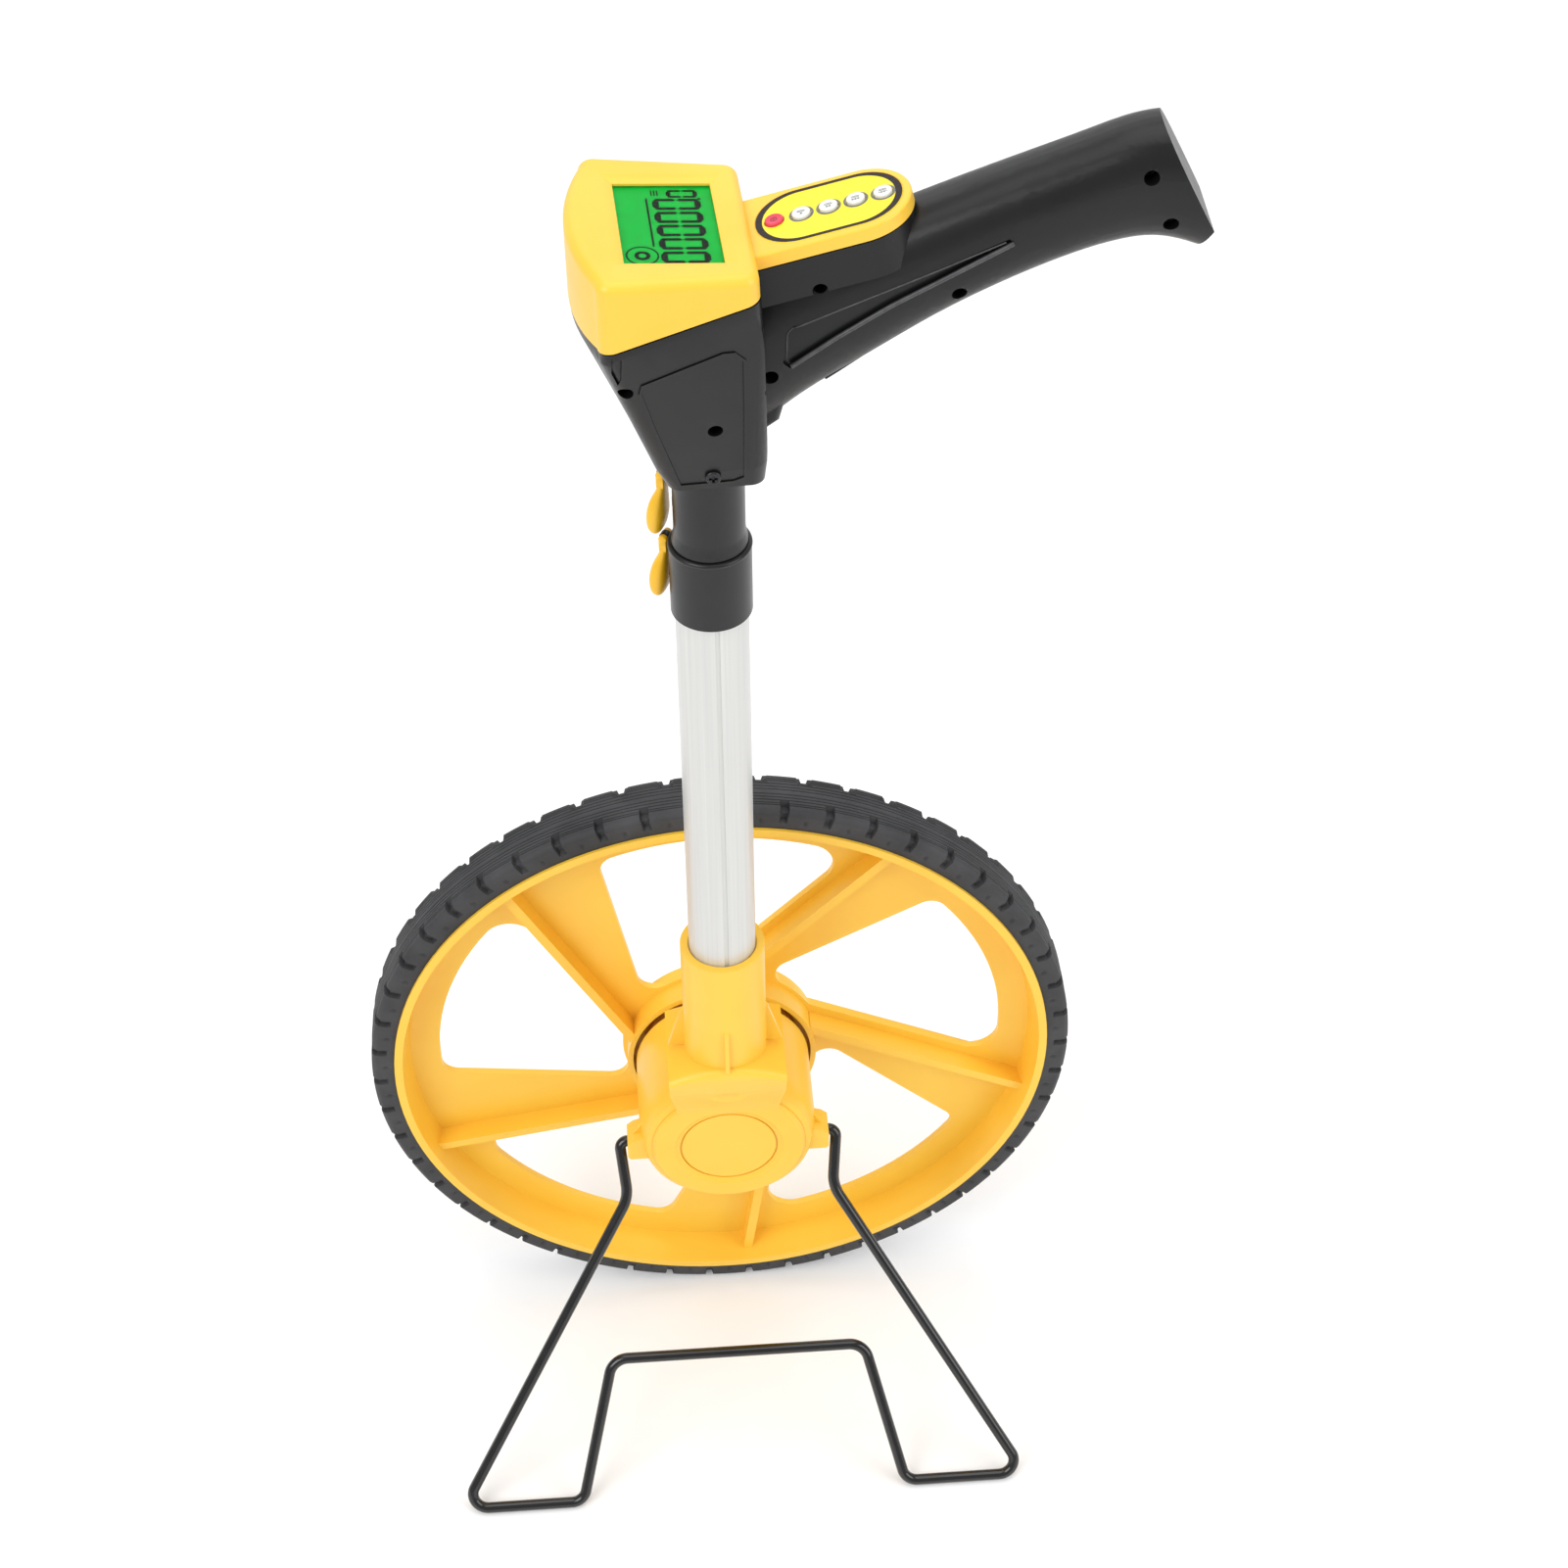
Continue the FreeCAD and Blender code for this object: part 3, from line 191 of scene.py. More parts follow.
RUBBER = make_rubber()
STEEL = metal("bright_steel", linear(170, 172, 176), linear(205, 206, 208), (0.18, 0.32))
DARK_STEEL = metal("dark_steel", linear(30, 30, 32), linear(48, 48, 50), (0.25, 0.4), metallic=0.9)
NECK_STEEL = metal("neck_steel", linear(44, 44, 46), linear(66, 66, 68), (0.28, 0.4), metallic=0.8)


def make_pole_paint():
    """Silver-grey satin tube: faint lengthwise drawing lines."""
    n = Nodes("pole_paint")
    lines = n.noise(700.0, 3.0, 0.6, (1.0, 1.0, 0.01))
    flake = n.noise(2600.0, 1.0, 0.5)
    normal = n.bump(lines, 0.12, 0.00002)
    normal = n.bump(flake, 0.06, 0.00001, normal)
    return n.finish(Base_Color=n.ramp(lines, linear(206, 206, 204), linear(216, 216, 213)),
                    Roughness=n.spread(lines, 0.3, 0.42), Normal=normal, Metallic=0.25)


POLE = make_pole_paint()


def make_wire_coat():
    """Dipped black coating on the stand wire, slightly wavy."""
    n = Nodes("black_coating")
    flow = n.noise(180.0, 2.0)
    return n.finish(Base_Color=n.ramp(flow, linear(12, 12, 13), linear(20, 20, 21)),
                    Roughness=n.spread(flow, 0.12, 0.22), Coat_Weight=0.3, Coat_Roughness=0.06,
                    Normal=n.bump(flow, 0.1, 0.0001))


WIRE = make_wire_coat()


def glossy(name, dark, light, rough=(0.22, 0.32), glow=0.0, shine=0.4):
    """Printed film, screen or glossy moulding: faint mottle and a slightly uneven gloss."""
    n = Nodes(name)
    mottle = n.noise(260.0, 3.0)
    fine = n.noise(3000.0, 2.0, 0.6)
    colour = n.ramp(mottle, dark, light)
    sockets = {"Base_Color": colour, "Roughness": n.spread(mottle, *rough),
               "Normal": n.bump(fine, 0.12, 0.00001), "Specular_IOR_Level": shine}
    if glow:
        sockets["Emission_Color"] = colour
        sockets["Emission_Strength"] = glow
    return n.finish(**sockets)


def make_glass():
    """The clear window over the display, faintly smeared."""
    n = Nodes("clear_window")
    smear = n.noise(90.0, 3.0)
    n.material.blend_method = "BLEND"
    return n.finish(Base_Color=(0.0, 0.01, 0.0, 1.0), Roughness=n.spread(smear, 0.04, 0.1), Alpha=0.05,
                    Normal=n.bump(smear, 0.05, 0.00002))


LEVER = moulded("lever_plastic", linear(242, 182, 26), linear(248, 194, 36), (0.28, 0.38), 900.0, 0.00002)
SCREEN_GREEN = glossy("screen_green", linear(0, 160, 48), linear(0, 178, 60), (0.3, 0.4), 0.22, 0.1)
SCREEN_INK = glossy("screen_ink", linear(1, 16, 5), linear(3, 24, 8), (0.4, 0.5), 0.0, 0.1)
GLASS = make_glass()
LABEL = glossy("label_yellow", linear(250, 226, 30), linear(252, 234, 42))
OUTLINE = glossy("label_outline", linear(30, 18, 20), linear(40, 26, 28), shine=0.2)
GREY_PRINT = glossy("grey_print", linear(92, 96, 98), linear(112, 116, 116))
RED_PRINT = glossy("red_print", linear(130, 20, 46), linear(146, 28, 54))
BUTTON_RED = glossy("button_red", linear(214, 58, 84), linear(224, 72, 96), (0.3, 0.42))
BUTTON_WHITE = glossy("button_white", linear(222, 222, 218), linear(234, 234, 230), (0.3, 0.42))
BOARD = moulded("circuit_board", linear(18, 84, 44), linear(26, 100, 54), (0.3, 0.4), 2000.0, 0.00001)
# The magnet ring sits deep in the hub's dark gap; its orange is brighter than the part's own colour, as
# painted bounce light that lifts the gap.
MAGNET_PAINTED_LIGHT = moulded("magnet", linear(226, 146, 44), linear(240, 158, 52), (0.5, 0.65), 800.0, 0.00004)
# Grey on the black handle's recess edges: the round bead is a raised ridge, and its lighter grey and the thin
# top line are a painted highlight.
HANDLE_EDGE_PAINTED_HIGHLIGHT = glossy("handle_edge_painted_highlight", linear(60, 60, 62), linear(78, 78, 80), (0.2, 0.3))
CELL = metal("cell_wrap", linear(60, 66, 80), linear(84, 90, 104), (0.25, 0.35), metallic=0.4)


# ---------------------------------------------------------------- mesh helpers
def piece(name, bm, body, material, replaces=(), sharp=35.0):
    """Turns a bmesh in millimetres into a finished piece that rides on a body."""
    bmesh.ops.recalc_face_normals(bm, faces=bm.faces)
    mesh = bpy.data.meshes.new(name)
    bm.to_mesh(mesh)
    bm.free()
    mesh.transform(Matrix.Scale(MM, 4))
    ob = bpy.data.objects.new(name, mesh)
    scene.collection.objects.link(ob)
    mesh.shade_smooth()
    mesh.set_sharp_from_angle(angle=math.radians(sharp))
    mesh.materials.append(material)
    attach(ob, body)
    if replaces:
        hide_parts(*replaces)
    return ob


WELD_GAP = 0.000004               # metres
FLAT_ANGLE = math.radians(0.6)    # facets that differ by less are merged
EDGE_ANGLE = 28.0                 # edges sharper than this many degrees are rounded


def circle(r, count):
    """Points of a circle, as (x, y)."""
    turns = [2 * math.pi * j / count for j in range(count)]
    return [(r * math.cos(t), r * math.sin(t)) for t in turns]


def grid(bm, rings, close_ring, close_rows):
    """Skins a list of rings of points, and returns the rings of vertices."""
    rows = [[bm.verts.new(p) for p in ring] for ring in rings]
    count = len(rows[0])
    last = len(rows) if close_rows else len(rows) - 1
    for i in range(last):
        a, b = rows[i], rows[(i + 1) % len(rows)]
        for j in range(count if close_ring else count - 1):
            k = (j + 1) % count
            bm.faces.new((a[j], a[k], b[k], b[j]))
    return rows


def cad_copy(name, material, bevel):
    """A finished copy of a CAD node: its facets merged, its edges rounded, smooth shaded."""
    source = frame["nodes"][name]
    bm = bmesh.new()
    bm.from_mesh(source.data)
    bmesh.ops.remove_doubles(bm, verts=bm.verts, dist=WELD_GAP)
    bmesh.ops.dissolve_limit(bm, angle_limit=FLAT_ANGLE, verts=bm.verts, edges=bm.edges)
    bmesh.ops.scale(bm, vec=(1000.0,) * 3, verts=bm.verts)
    ob = piece(name, bm, source["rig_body"], material, [name], sharp=EDGE_ANGLE)
    edges = ob.modifiers.new("edges", "BEVEL")
    edges.width = bevel * MM
    edges.segments = 2
    edges.limit_method = "ANGLE"
    edges.angle_limit = math.radians(EDGE_ANGLE)
    edges.use_clamp_overlap = True
    edges.harden_normals = True
    ob.modifiers.new("normals", "WEIGHTED_NORMAL").keep_sharp = True


def dress(node, material):
    """A CAD node that stays as it is, with its own material."""
    ob = frame["nodes"][node]
    ob.data.materials.clear()
    ob.data.materials.append(material)


# ---------------------------------------------------------------- tyre
TYRE_R = WHEEL_R - 0.06           # radius at the crown
TYRE_HALF = (TYRE_BACK - TYRE_FRONT) / 2
TYRE_MID = (TYRE_FRONT + TYRE_BACK) / 2
SLOT_TURN = 2 * math.pi / NOTCHES
SLOT_SPACE = SLOT_TURN * WHEEL_R
SLOT_IN, SLOT_DOWN = 2.3, 2.9     # a slot's floor, in from the side face and down from the crown
SLOT_SHARE = 0.93                 # how near to that floor the slot's points are drawn
SLOT_HALF, SLOT_END_HALF = 2.0, 1.15
DIMPLE_HALF, DIMPLE_DEPTH = 0.75, 0.7


def tyre_profile():
    """Points (y, radius) round the tyre, from one edge of its seat over the crown to the other."""
    side_high = TYRE_R - 2.5
    half = []       # (distance from the middle, radius)
    for t in (0.0, 0.14, 0.3, 0.42, 0.55, 0.7, 0.85, 1.0):
        half.append((TYRE_HALF, TYRE_SEAT_R + t * (side_high - TYRE_SEAT_R)))
    for inwards, down in ((0.25, 2.0), (0.9, 1.25), (1.6, 0.55), (2.1, 0.28), (2.6, 0.2)):
        half.append((TYRE_HALF - inwards, TYRE_R - down))
    for u in (8.4, 7.2, 5.4, 3.6, 1.8):     # grooves round the tread
        half += [(u, TYRE_R - 0.12), (u - 0.18, TYRE_R - 0.5), (u - 0.5, TYRE_R - 0.5),
                 (u - 0.68, TYRE_R - 0.1)]
    half += [(0.4, TYRE_R), (0.0, TYRE_R)]
    return [(TYRE_MID - u, r) for u, r in half] + [(TYRE_MID + u, r) for u, r in half[-2::-1]]


def slot_shift(u, away, r):
    """How far a point moves (inwards along y, outwards along the radius), u along from a slot."""
    inwards, outwards = 0.0, 0.0
    rise = max(0.0, (r - TYRE_SEAT_R) / (TYRE_R - TYRE_SEAT_R))
    width = SLOT_HALF if r > TYRE_R - 1.6 else SLOT_END_HALF + (SLOT_HALF - SLOT_END_HALF) * rise
    if abs(u) < width and r > TYRE_SEAT_R + 3.4 and away > TYRE_HALF - 6.2:
        inwards = SLOT_SHARE * max(0.0, away - (TYRE_HALF - SLOT_IN))
        outwards = -SLOT_SHARE * max(0.0, r - (TYRE_R - SLOT_DOWN))
    # A dimple low on the side face, half way between two slots.
    between = abs(abs(u) - SLOT_SPACE / 2) < DIMPLE_HALF
    if between and away > TYRE_HALF - 0.01 and TYRE_SEAT_R + 2.6 < r < TYRE_SEAT_R + 4.6:
        inwards = DIMPLE_DEPTH
    return inwards, outwards


def make_tyre():
    """Solid tyre: slots over both shoulders, chamfered shoulders, grooves round the tread."""
    profile = tyre_profile()
    slot = [-2.6, -2.05, -1.9, -1.2, 0.0, 1.2, 1.9, 2.05, 2.6]
    rest = [4.2, 6.4, 8.2, 8.9, 9.6, 10.0, 10.4, 11.1, 11.8, 13.8, 15.6]
    places = [x / WHEEL_R for x in slot + rest]
    rings = []
    for k in range(NOTCHES):
        for place in places:
            t = k * SLOT_TURN + place
            ring = []
            for y, r in profile:
                near = y < TYRE_MID
                # The slots of the far shoulder sit half a step round from the near ones.
                u = place * WHEEL_R if near else place * WHEEL_R - SLOT_SPACE / 2
                if u > SLOT_SPACE / 2:
                    u -= SLOT_SPACE
                inwards, outwards = slot_shift(u, abs(y - TYRE_MID), r)
                y += inwards if near else -inwards
                ring.append(AXLE + Vector(((r + outwards) * math.cos(t), y,
                                           (r + outwards) * math.sin(t))))
            rings.append(ring)
    bm = bmesh.new()
    rows = grid(bm, rings, False, True)
    # The seat's face closes each ring.
    for a, b in zip(rows, rows[1:] + rows[:1]):
        bm.faces.new([a[0], a[-1], b[-1], b[0]])
    piece("tyre", bm, "wheel", RUBBER, ["tyre"], sharp=40.0)


# ---------------------------------------------------------------- stand
BEND_STEP = 0.7     # arc length between the points of a bend
DOME_RISE = 0.35    # a bar's domed end, as a share of its radius
DOME_STEPS = (0.25, 0.6, 0.87)


def bent_path(points, radii):
    """Straight runs joined by arcs, as a list of points."""
    path = [points[0]]
    for before, corner, after, radius in zip(points, points[1:], points[2:], radii):
        back = (before - corner).normalized()
        ahead = (after - corner).normalized()
        angle = back.angle(ahead)
        reach = radius / math.tan(angle / 2)
        centre = corner + (back + ahead).normalized() * (radius / math.sin(angle / 2))
        a, b = corner + back * reach - centre, corner + ahead * reach - centre
        n = max(8, int(a.angle(b) * radius / BEND_STEP))
        path += [centre + turned_between(a, b, k / n) for k in range(n + 1)]
    path.append(points[-1])
    return path


def turned_between(a, b, t):
    """Turns vector a towards b, round their common centre."""
    axis = a.cross(b)
    return Matrix.Rotation(a.angle(b) * t, 3, axis) @ a


def sweep(bm, path, radius, sides):
    """A round bar along a path, with domed ends."""
    up = (path[1] - path[0]).normalized().orthogonal().normalized()
    last = len(path) - 1
    stations = []
    for i, point in enumerate(path):
        ahead = (path[min(i + 1, last)] - path[max(i - 1, 0)]).normalized()
        up = (up - ahead * up.dot(ahead)).normalized()
        stations.append((point, up.copy(), ahead.cross(up), ahead))
    unit = circle(1.0, sides)

    def ring(station, r):
        point, up, side, _ = station
        return [point + (up * c + side * d) * r for c, d in unit]

    def dome(station, way, share):
        point, up, side, ahead = station
        centre = point + ahead * (way * radius) * DOME_RISE * (1 - share)
        return ring((centre, up, side, ahead), radius * math.sin(math.acos(1 - share)))

    rings = [dome(stations[0], -1, share) for share in DOME_STEPS]
    rings += [ring(station, radius) for station in stations]
    rings += [dome(stations[-1], 1, share) for share in reversed(DOME_STEPS)]
    rows = grid(bm, rings, True, False)
    bm.faces.new(rows[0])
    bm.faces.new(rows[-1][::-1])


def make_stand():
    """One wire with both ends in the casing's lugs, two feet and a raised crosspiece."""
    lean = (STAND_FOOT_Y - STAND_HINGE_Y) / (STAND_HINGE_Z - WIRE_R)

    def on_plane(x, z):
        return Vector((x, STAND_HINGE_Y + lean * (STAND_HINGE_Z - z), z))

    half = [Vector((37.0, STAND_HINGE_Y, STAND_HINGE_Z)), Vector((48.7, STAND_HINGE_Y, STAND_HINGE_Z)),
            on_plane(46.2, 130.5), Vector((130.0, STAND_FOOT_Y, WIRE_R)),
            Vector((74.5, STAND_FOOT_Y, WIRE_R)), on_plane(57.5, 63.0)]
    turns = [3.4, 18.0, 7.0, 7.0, 9.0]
    points = half + [Vector((-p.x, p.y, p.z)) for p in reversed(half)]
    bm = bmesh.new()
    sweep(bm, bent_path(points, turns + turns[::-1]), WIRE_R, 24)
    piece("stand_wire", bm, "stand", WIRE, ["stand_wire"], sharp=50.0)


# ---------------------------------------------------------------- more mesh helpers
def spin(bm, profile, segments, place):
    """Turns a (radius, height) profile about the z axis; a radius of 0 closes it with one vertex."""
    rings = []
    for r, z in profile:
        if r == 0:
            rings.append([bm.verts.new(place @ Vector((0, 0, z)))])
            continue
        ring = []
        for j in range(segments):
            t = 2 * math.pi * j / segments
            ring.append(bm.verts.new(place @ Vector((r * math.cos(t), r * math.sin(t), z))))
        rings.append(ring)
    for a, b in zip(rings, rings[1:]):
        for j in range(segments):
            k = (j + 1) % segments
            corners = [a[j % len(a)], a[k % len(a)], b[k % len(b)], b[j % len(b)]]
            bm.faces.new([v for i, v in enumerate(corners) if v not in corners[:i]])


def plate(bm, outline, circles, z0, z1, place, edge):
    """A flat plate with round holes, its outer top edge chamfered by edge."""
    loops = [outline]
    for x, y, r in circles:
        loops.append([(x + r * math.cos(t * math.pi / 24), y + r * math.sin(t * math.pi / 24))
                      for t in range(48)])
    cx = sum(p[0] for p in outline) / len(outline)
    cy = sum(p[1] for p in outline) / len(outline)
    levels = [(z0, 0.0), (z1 - edge, 0.0), (z1, edge)]

    def pull(point, amount):
        """Moves a point of the outline towards the middle."""
        if not amount:
            return point
        way = Vector((point[0] - cx, point[1] - cy))
        return tuple(Vector(point) - way.normalized() * amount)

    rows = []
    for index, loop in enumerate(loops):
        rows.append([[bm.verts.new(place @ Vector((*pull(p, e if index == 0 else 0.0), z)))
                      for p in loop] for z, e in levels])
    for columns in rows:
        count = len(columns[0])
        for low, high in zip(columns, columns[1:]):
            for j in range(count):
                k = (j + 1) % count
                bm.faces.new((low[j], low[k], high[k], high[j]))
    flat = [Vector(p) for loop in loops for p in loop]
    borders, base = [], 0
    for loop in loops:
        borders += [(base + j, base + (j + 1) % len(loop)) for j in range(len(loop))]
        base += len(loop)
    _, _, triangles, _, _, _ = delaunay_2d_cdt(flat, borders, [], 1, 1e-6)
    for level in (0, len(levels) - 1):
        verts = [v for columns in rows for v in columns[level]]
        for tri in triangles:
            mid = (flat[tri[0]] + flat[tri[1]] + flat[tri[2]]) / 3
            if any((mid.x - x) ** 2 + (mid.y - y) ** 2 < (r * 0.97) ** 2 for x, y, r in circles):
                continue
            bm.faces.new([verts[i] for i in tri])


def strip(bm, outer, inner, z0, z1, place):
    """A flat band between two outlines that have as many points."""
    rings = [[place @ Vector((*p, z)) for p in loop]
             for loop, z in ((outer, z0), (outer, z1), (inner, z1), (inner, z0))]
    grid(bm, rings, True, True)


def oval_outline(half_length, half_width, steps=40):
    """A slot shape along x, with round ends."""
    points = []
    mid = half_length - half_width
    for side in (1, -1):
        for j in range(steps + 1):
            t = -math.pi / 2 + math.pi * j / steps
            points.append((side * (mid + half_width * math.cos(t)), side * half_width * math.sin(t)))
    return points


def rounded_box(half_x, half_y, radius):
    """A rectangle with rounded corners."""
    steps = 6
    points = []
    for quarter, (sx, sy) in enumerate(((1, 1), (-1, 1), (-1, -1), (1, -1))):
        for j in range(steps + 1):
            t = math.pi / 2 * (quarter + j / steps)
            points.append((sx * (half_x - radius) + radius * math.cos(t),
                           sy * (half_y - radius) + radius * math.sin(t)))
    return points


# ---------------------------------------------------------------- levers
FORK_OUT, FORK_IN, FORK_EDGE = 3.2, 1.4, 0.25
EYE_R, NECK_HALF, NECK_REACH = 1.7, 1.45, 5.4
PIN_HOLE_R, PIN_HOLE_END = 0.85, 2.55
# Height from the pin, outer face, inner face, half width.
LEVER_TAB = [(-3.3, -1.65, 1.45, 3.15), (-5.5, -1.8, 1.35, 3.3), (-8.0, -2.6, 1.2, 3.9),
             (-10.5, -3.8, 1.1, 4.7), (-13.0, -4.9, 1.1, 5.5), (-16.0, -5.7, 1.05, 6.1),
             (-19.0, -6.1, 0.95, 6.3), (-22.0, -6.0, 0.5, 6.1), (-24.2, -5.6, 0.0, 5.5),
             (-25.9, -4.9, -0.7, 4.4), (-26.8, -4.3, -1.4, 3.0), (-27.25, -3.6, -2.2, 1.3)]


def smooth_table(rows):
    """Passes a smooth curve through rows of numbers."""
    per = 5
    out = []
    for i in range(len(rows) - 1):
        a, b = rows[max(i - 1, 0)], rows[i]
        c, d = rows[i + 1], rows[min(i + 2, len(rows) - 1)]
        for k in range(per):
            t = k / per
            out.append([0.5 * (2 * q + (r - p) * t + (2 * p - 5 * q + 4 * r - s) * t * t
                               + (3 * q - p - 3 * r + s) * t ** 3) for p, q, r, s in zip(a, b, c, d)])
    out.append(list(rows[-1]))
    return out


def skin(bm, rings):
    """A closed form over a list of rings, with flat ends."""
    rows = grid(bm, rings, True, False)
    bm.faces.new(rows[0])
    bm.faces.new(rows[-1][::-1])


def lever_tab(bm, place):
    """The drop-shaped thumb tab, as rounded-square rings from the neck down."""
    rings = []
    for h, outer, inner, wide in smooth_table(LEVER_TAB):
        mid, thick = (outer + inner) / 2, (inner - outer) / 2
        rings.append([place @ Vector((mid + math.copysign(abs(c) ** 0.8, c) * thick,
                                      math.copysign(abs(s) ** 0.8, s) * wide, h))
                      for c, s in circle(1.0, 40)])
    skin(bm, rings)


def lever_fork(bm, place, side):
    """One side of the fork: an eye on the pin and a short neck down, with a blind pin hole."""
    unit = circle(1.0, 48)
    rings = []
    for y, inset in ((FORK_OUT, FORK_EDGE), (FORK_OUT - FORK_EDGE, 0.0), (FORK_IN, 0.0)):
        ring = []
        for c, s in unit:
            reach = EYE_R
            if s < 0:
                half = NECK_HALF + 0.1 if c < 0 else NECK_HALF
                reach = max(min(NECK_REACH / abs(s), half / max(abs(c), 0.05)), NECK_HALF)
            ring.append(place @ Vector(((reach - inset) * c, side * y, (reach - inset) * s)))
        rings.append(ring)
    for y in (FORK_IN, PIN_HOLE_END):
        rings.append([place @ Vector((PIN_HOLE_R * c, side * y, PIN_HOLE_R * s)) for c, s in unit])
    skin(bm, rings)


def make_lever(name, z):
    """A drop-shaped thumb tab under a forked neck."""
    place = (Matrix.Rotation(math.radians(LEVER_SIDE), 4, "Z")
             @ Matrix.Translation((-LEVER_PIVOT_R, 0, z)))
    bm = bmesh.new()
    lever_tab(bm, place)
    for side in (-1, 1):
        lever_fork(bm, place, side)
    piece(name, bm, name, LEVER, [name], sharp=50.0)


# ---------------------------------------------------------------- display
SCREEN = (Matrix.Rotation(math.radians(HEAD_TURN), 4, "Z")
          @ Matrix.Translation((SCREEN_X, 0, TOP_Z - TOP_SLOPE * (SCREEN_X - TOP_EDGE_X)))
          @ Matrix.Rotation(math.atan(TOP_SLOPE), 4, "Y"))
GLASS_TOP, GLASS_THICK = -2.55, 0.44
PANEL_TOP, PANEL_THICK = GLASS_TOP - 0.5, 3.4
PANEL_SPAN = 33.7      # length along x of the panel that the window shows
INK = 0.05             # height of the display's marks
DIGIT_FIRST_Y, DIGIT_PITCH = -19.0, 8.2
ICON_X, ICON_Y = -20.9, -17.9


def mark(bm, x, y, long_x, long_y, pointed=True):
    """One display segment lying on the panel, pointed at both ends or square."""
    a, b = long_x / 2, long_y / 2
    k = min(a, b)
    if pointed and a > b:
        shape = [(-a, 0), (-a + k, b), (a - k, b), (a, 0), (a - k, -b), (-a + k, -b)]
    elif pointed:
        shape = [(0, -b), (a, -b + k), (a, b - k), (0, b), (-a, b - k), (-a, -b + k)]
    else:
        shape = [(-a, -b), (a, -b), (a, b), (-a, b)]
    low = [bm.verts.new(SCREEN @ Vector((x + p, y + q, PANEL_TOP))) for p, q in shape]
    top = [bm.verts.new(SCREEN @ Vector((x + p, y + q, PANEL_TOP + INK))) for p, q in shape]
    bm.faces.new(top)
    bm.faces.new(low[::-1])
    for j in range(len(shape)):
        k = (j + 1) % len(shape)
        bm.faces.new((low[j], low[k], top[k], top[j]))


def zero(bm, near, far, y, wide, end, side):
    """The digit 0 in six segments; near and far are its top and bottom along x."""
    tall = far - near
    for x in (near + end / 2, far - end / 2):
        mark(bm, x, y, end, wide - side)
    for way in (-1, 1):
        for x in (near + tall * 0.265, far - tall * 0.265):
            mark(bm, x, y + way * (wide - side) / 2, tall * 0.45, side)


def make_digits():
    """Five large zeros and a small one, a decimal point, the unit's bars, a rule and an icon."""
    def at(share):
        return (share - 0.5) * PANEL_SPAN

    bm = bmesh.new()
    for i in range(5):
        zero(bm, at(0.385), at(0.88), DIGIT_FIRST_Y + i * DIGIT_PITCH, 7.0, 2.3, 1.6)
    zero(bm, at(0.54), at(0.86), 20.4, 4.8, 1.6, 1.15)
    mark(bm, at(0.87), 17.2, 1.1, 1.1, pointed=False)
    for share in (0.39, 0.42, 0.45):
        mark(bm, at(share), 20.9, 0.5, 3.4, pointed=False)
    mark(bm, at(0.33), 2.6, 0.7, 30.0, pointed=False)
    icon = SCREEN @ Matrix.Translation((ICON_X - SCREEN_X, ICON_Y, PANEL_TOP))
    for outer, inner in ((5.6, 5.0), (2.7, 1.3)):
        strip(bm, circle(outer, 64), circle(inner, 64), 0.0, INK, icon)
    piece("display_digits", bm, "head", SCREEN_INK)


def make_display():
    """The green panel, its dark marks and the clear window over them."""
    bm = bmesh.new()
    plate(bm, rounded_box(18.5, 27.0, 0.8), [], PANEL_TOP - PANEL_THICK, PANEL_TOP, SCREEN, 0.1)
    piece("display_module", bm, "head", SCREEN_GREEN, ["display_module"])
    make_digits()
    bm = bmesh.new()
    plate(bm, rounded_box(19.5, 28.0, 1.0), [], GLASS_TOP - GLASS_THICK, GLASS_TOP, SCREEN, 0.05)
    piece("display_window", bm, "head", GLASS, ["display_window"])


# ---------------------------------------------------------------- keypad
PAD = (Matrix.Translation((PAD_X, 0, PAD_Z))
       @ Matrix.Rotation(math.radians(PAD_TILT), 4, "Y"))
BUTTONS = ("power_button", "start_button", "reset_button", "store_button", "unit_button")
MARK_LOW, MARK_HIGH = 0.75, 0.84      # from just inside a button's dished top to just above it


def button_place(i):
    """The i-th button's own frame, on the keypad's plane; the third sits in its middle."""
    return PAD @ Matrix.Translation(((i - 2) * BUTTON_STEP, 0, 0))


def make_label():
    """The printed label, its dark outline and the grey rings round the white buttons."""
    holes = [((i - 2) * BUTTON_STEP, 0.0, BUTTON_R + 0.35) for i in range(5)]
    bm = bmesh.new()
    plate(bm, oval_outline(25.7, 15.4), holes, -0.33, 0.05, PAD, 0.08)
    piece("keypad_label", bm, "head", LABEL, ["keypad_label"])
    bm = bmesh.new()
    strip(bm, oval_outline(25.55, 15.25), oval_outline(23.2, 13.75), 0.04, 0.13, PAD)
    piece("keypad_outline", bm, "head", OUTLINE)
    bm = bmesh.new()
    for i in range(1, 5):
        strip(bm, circle(BUTTON_R + 1.05, 48), circle(BUTTON_R + 0.38, 48), 0.04, 0.16,
              button_place(i))
    piece("keypad_rings", bm, "head", GREY_PRINT)


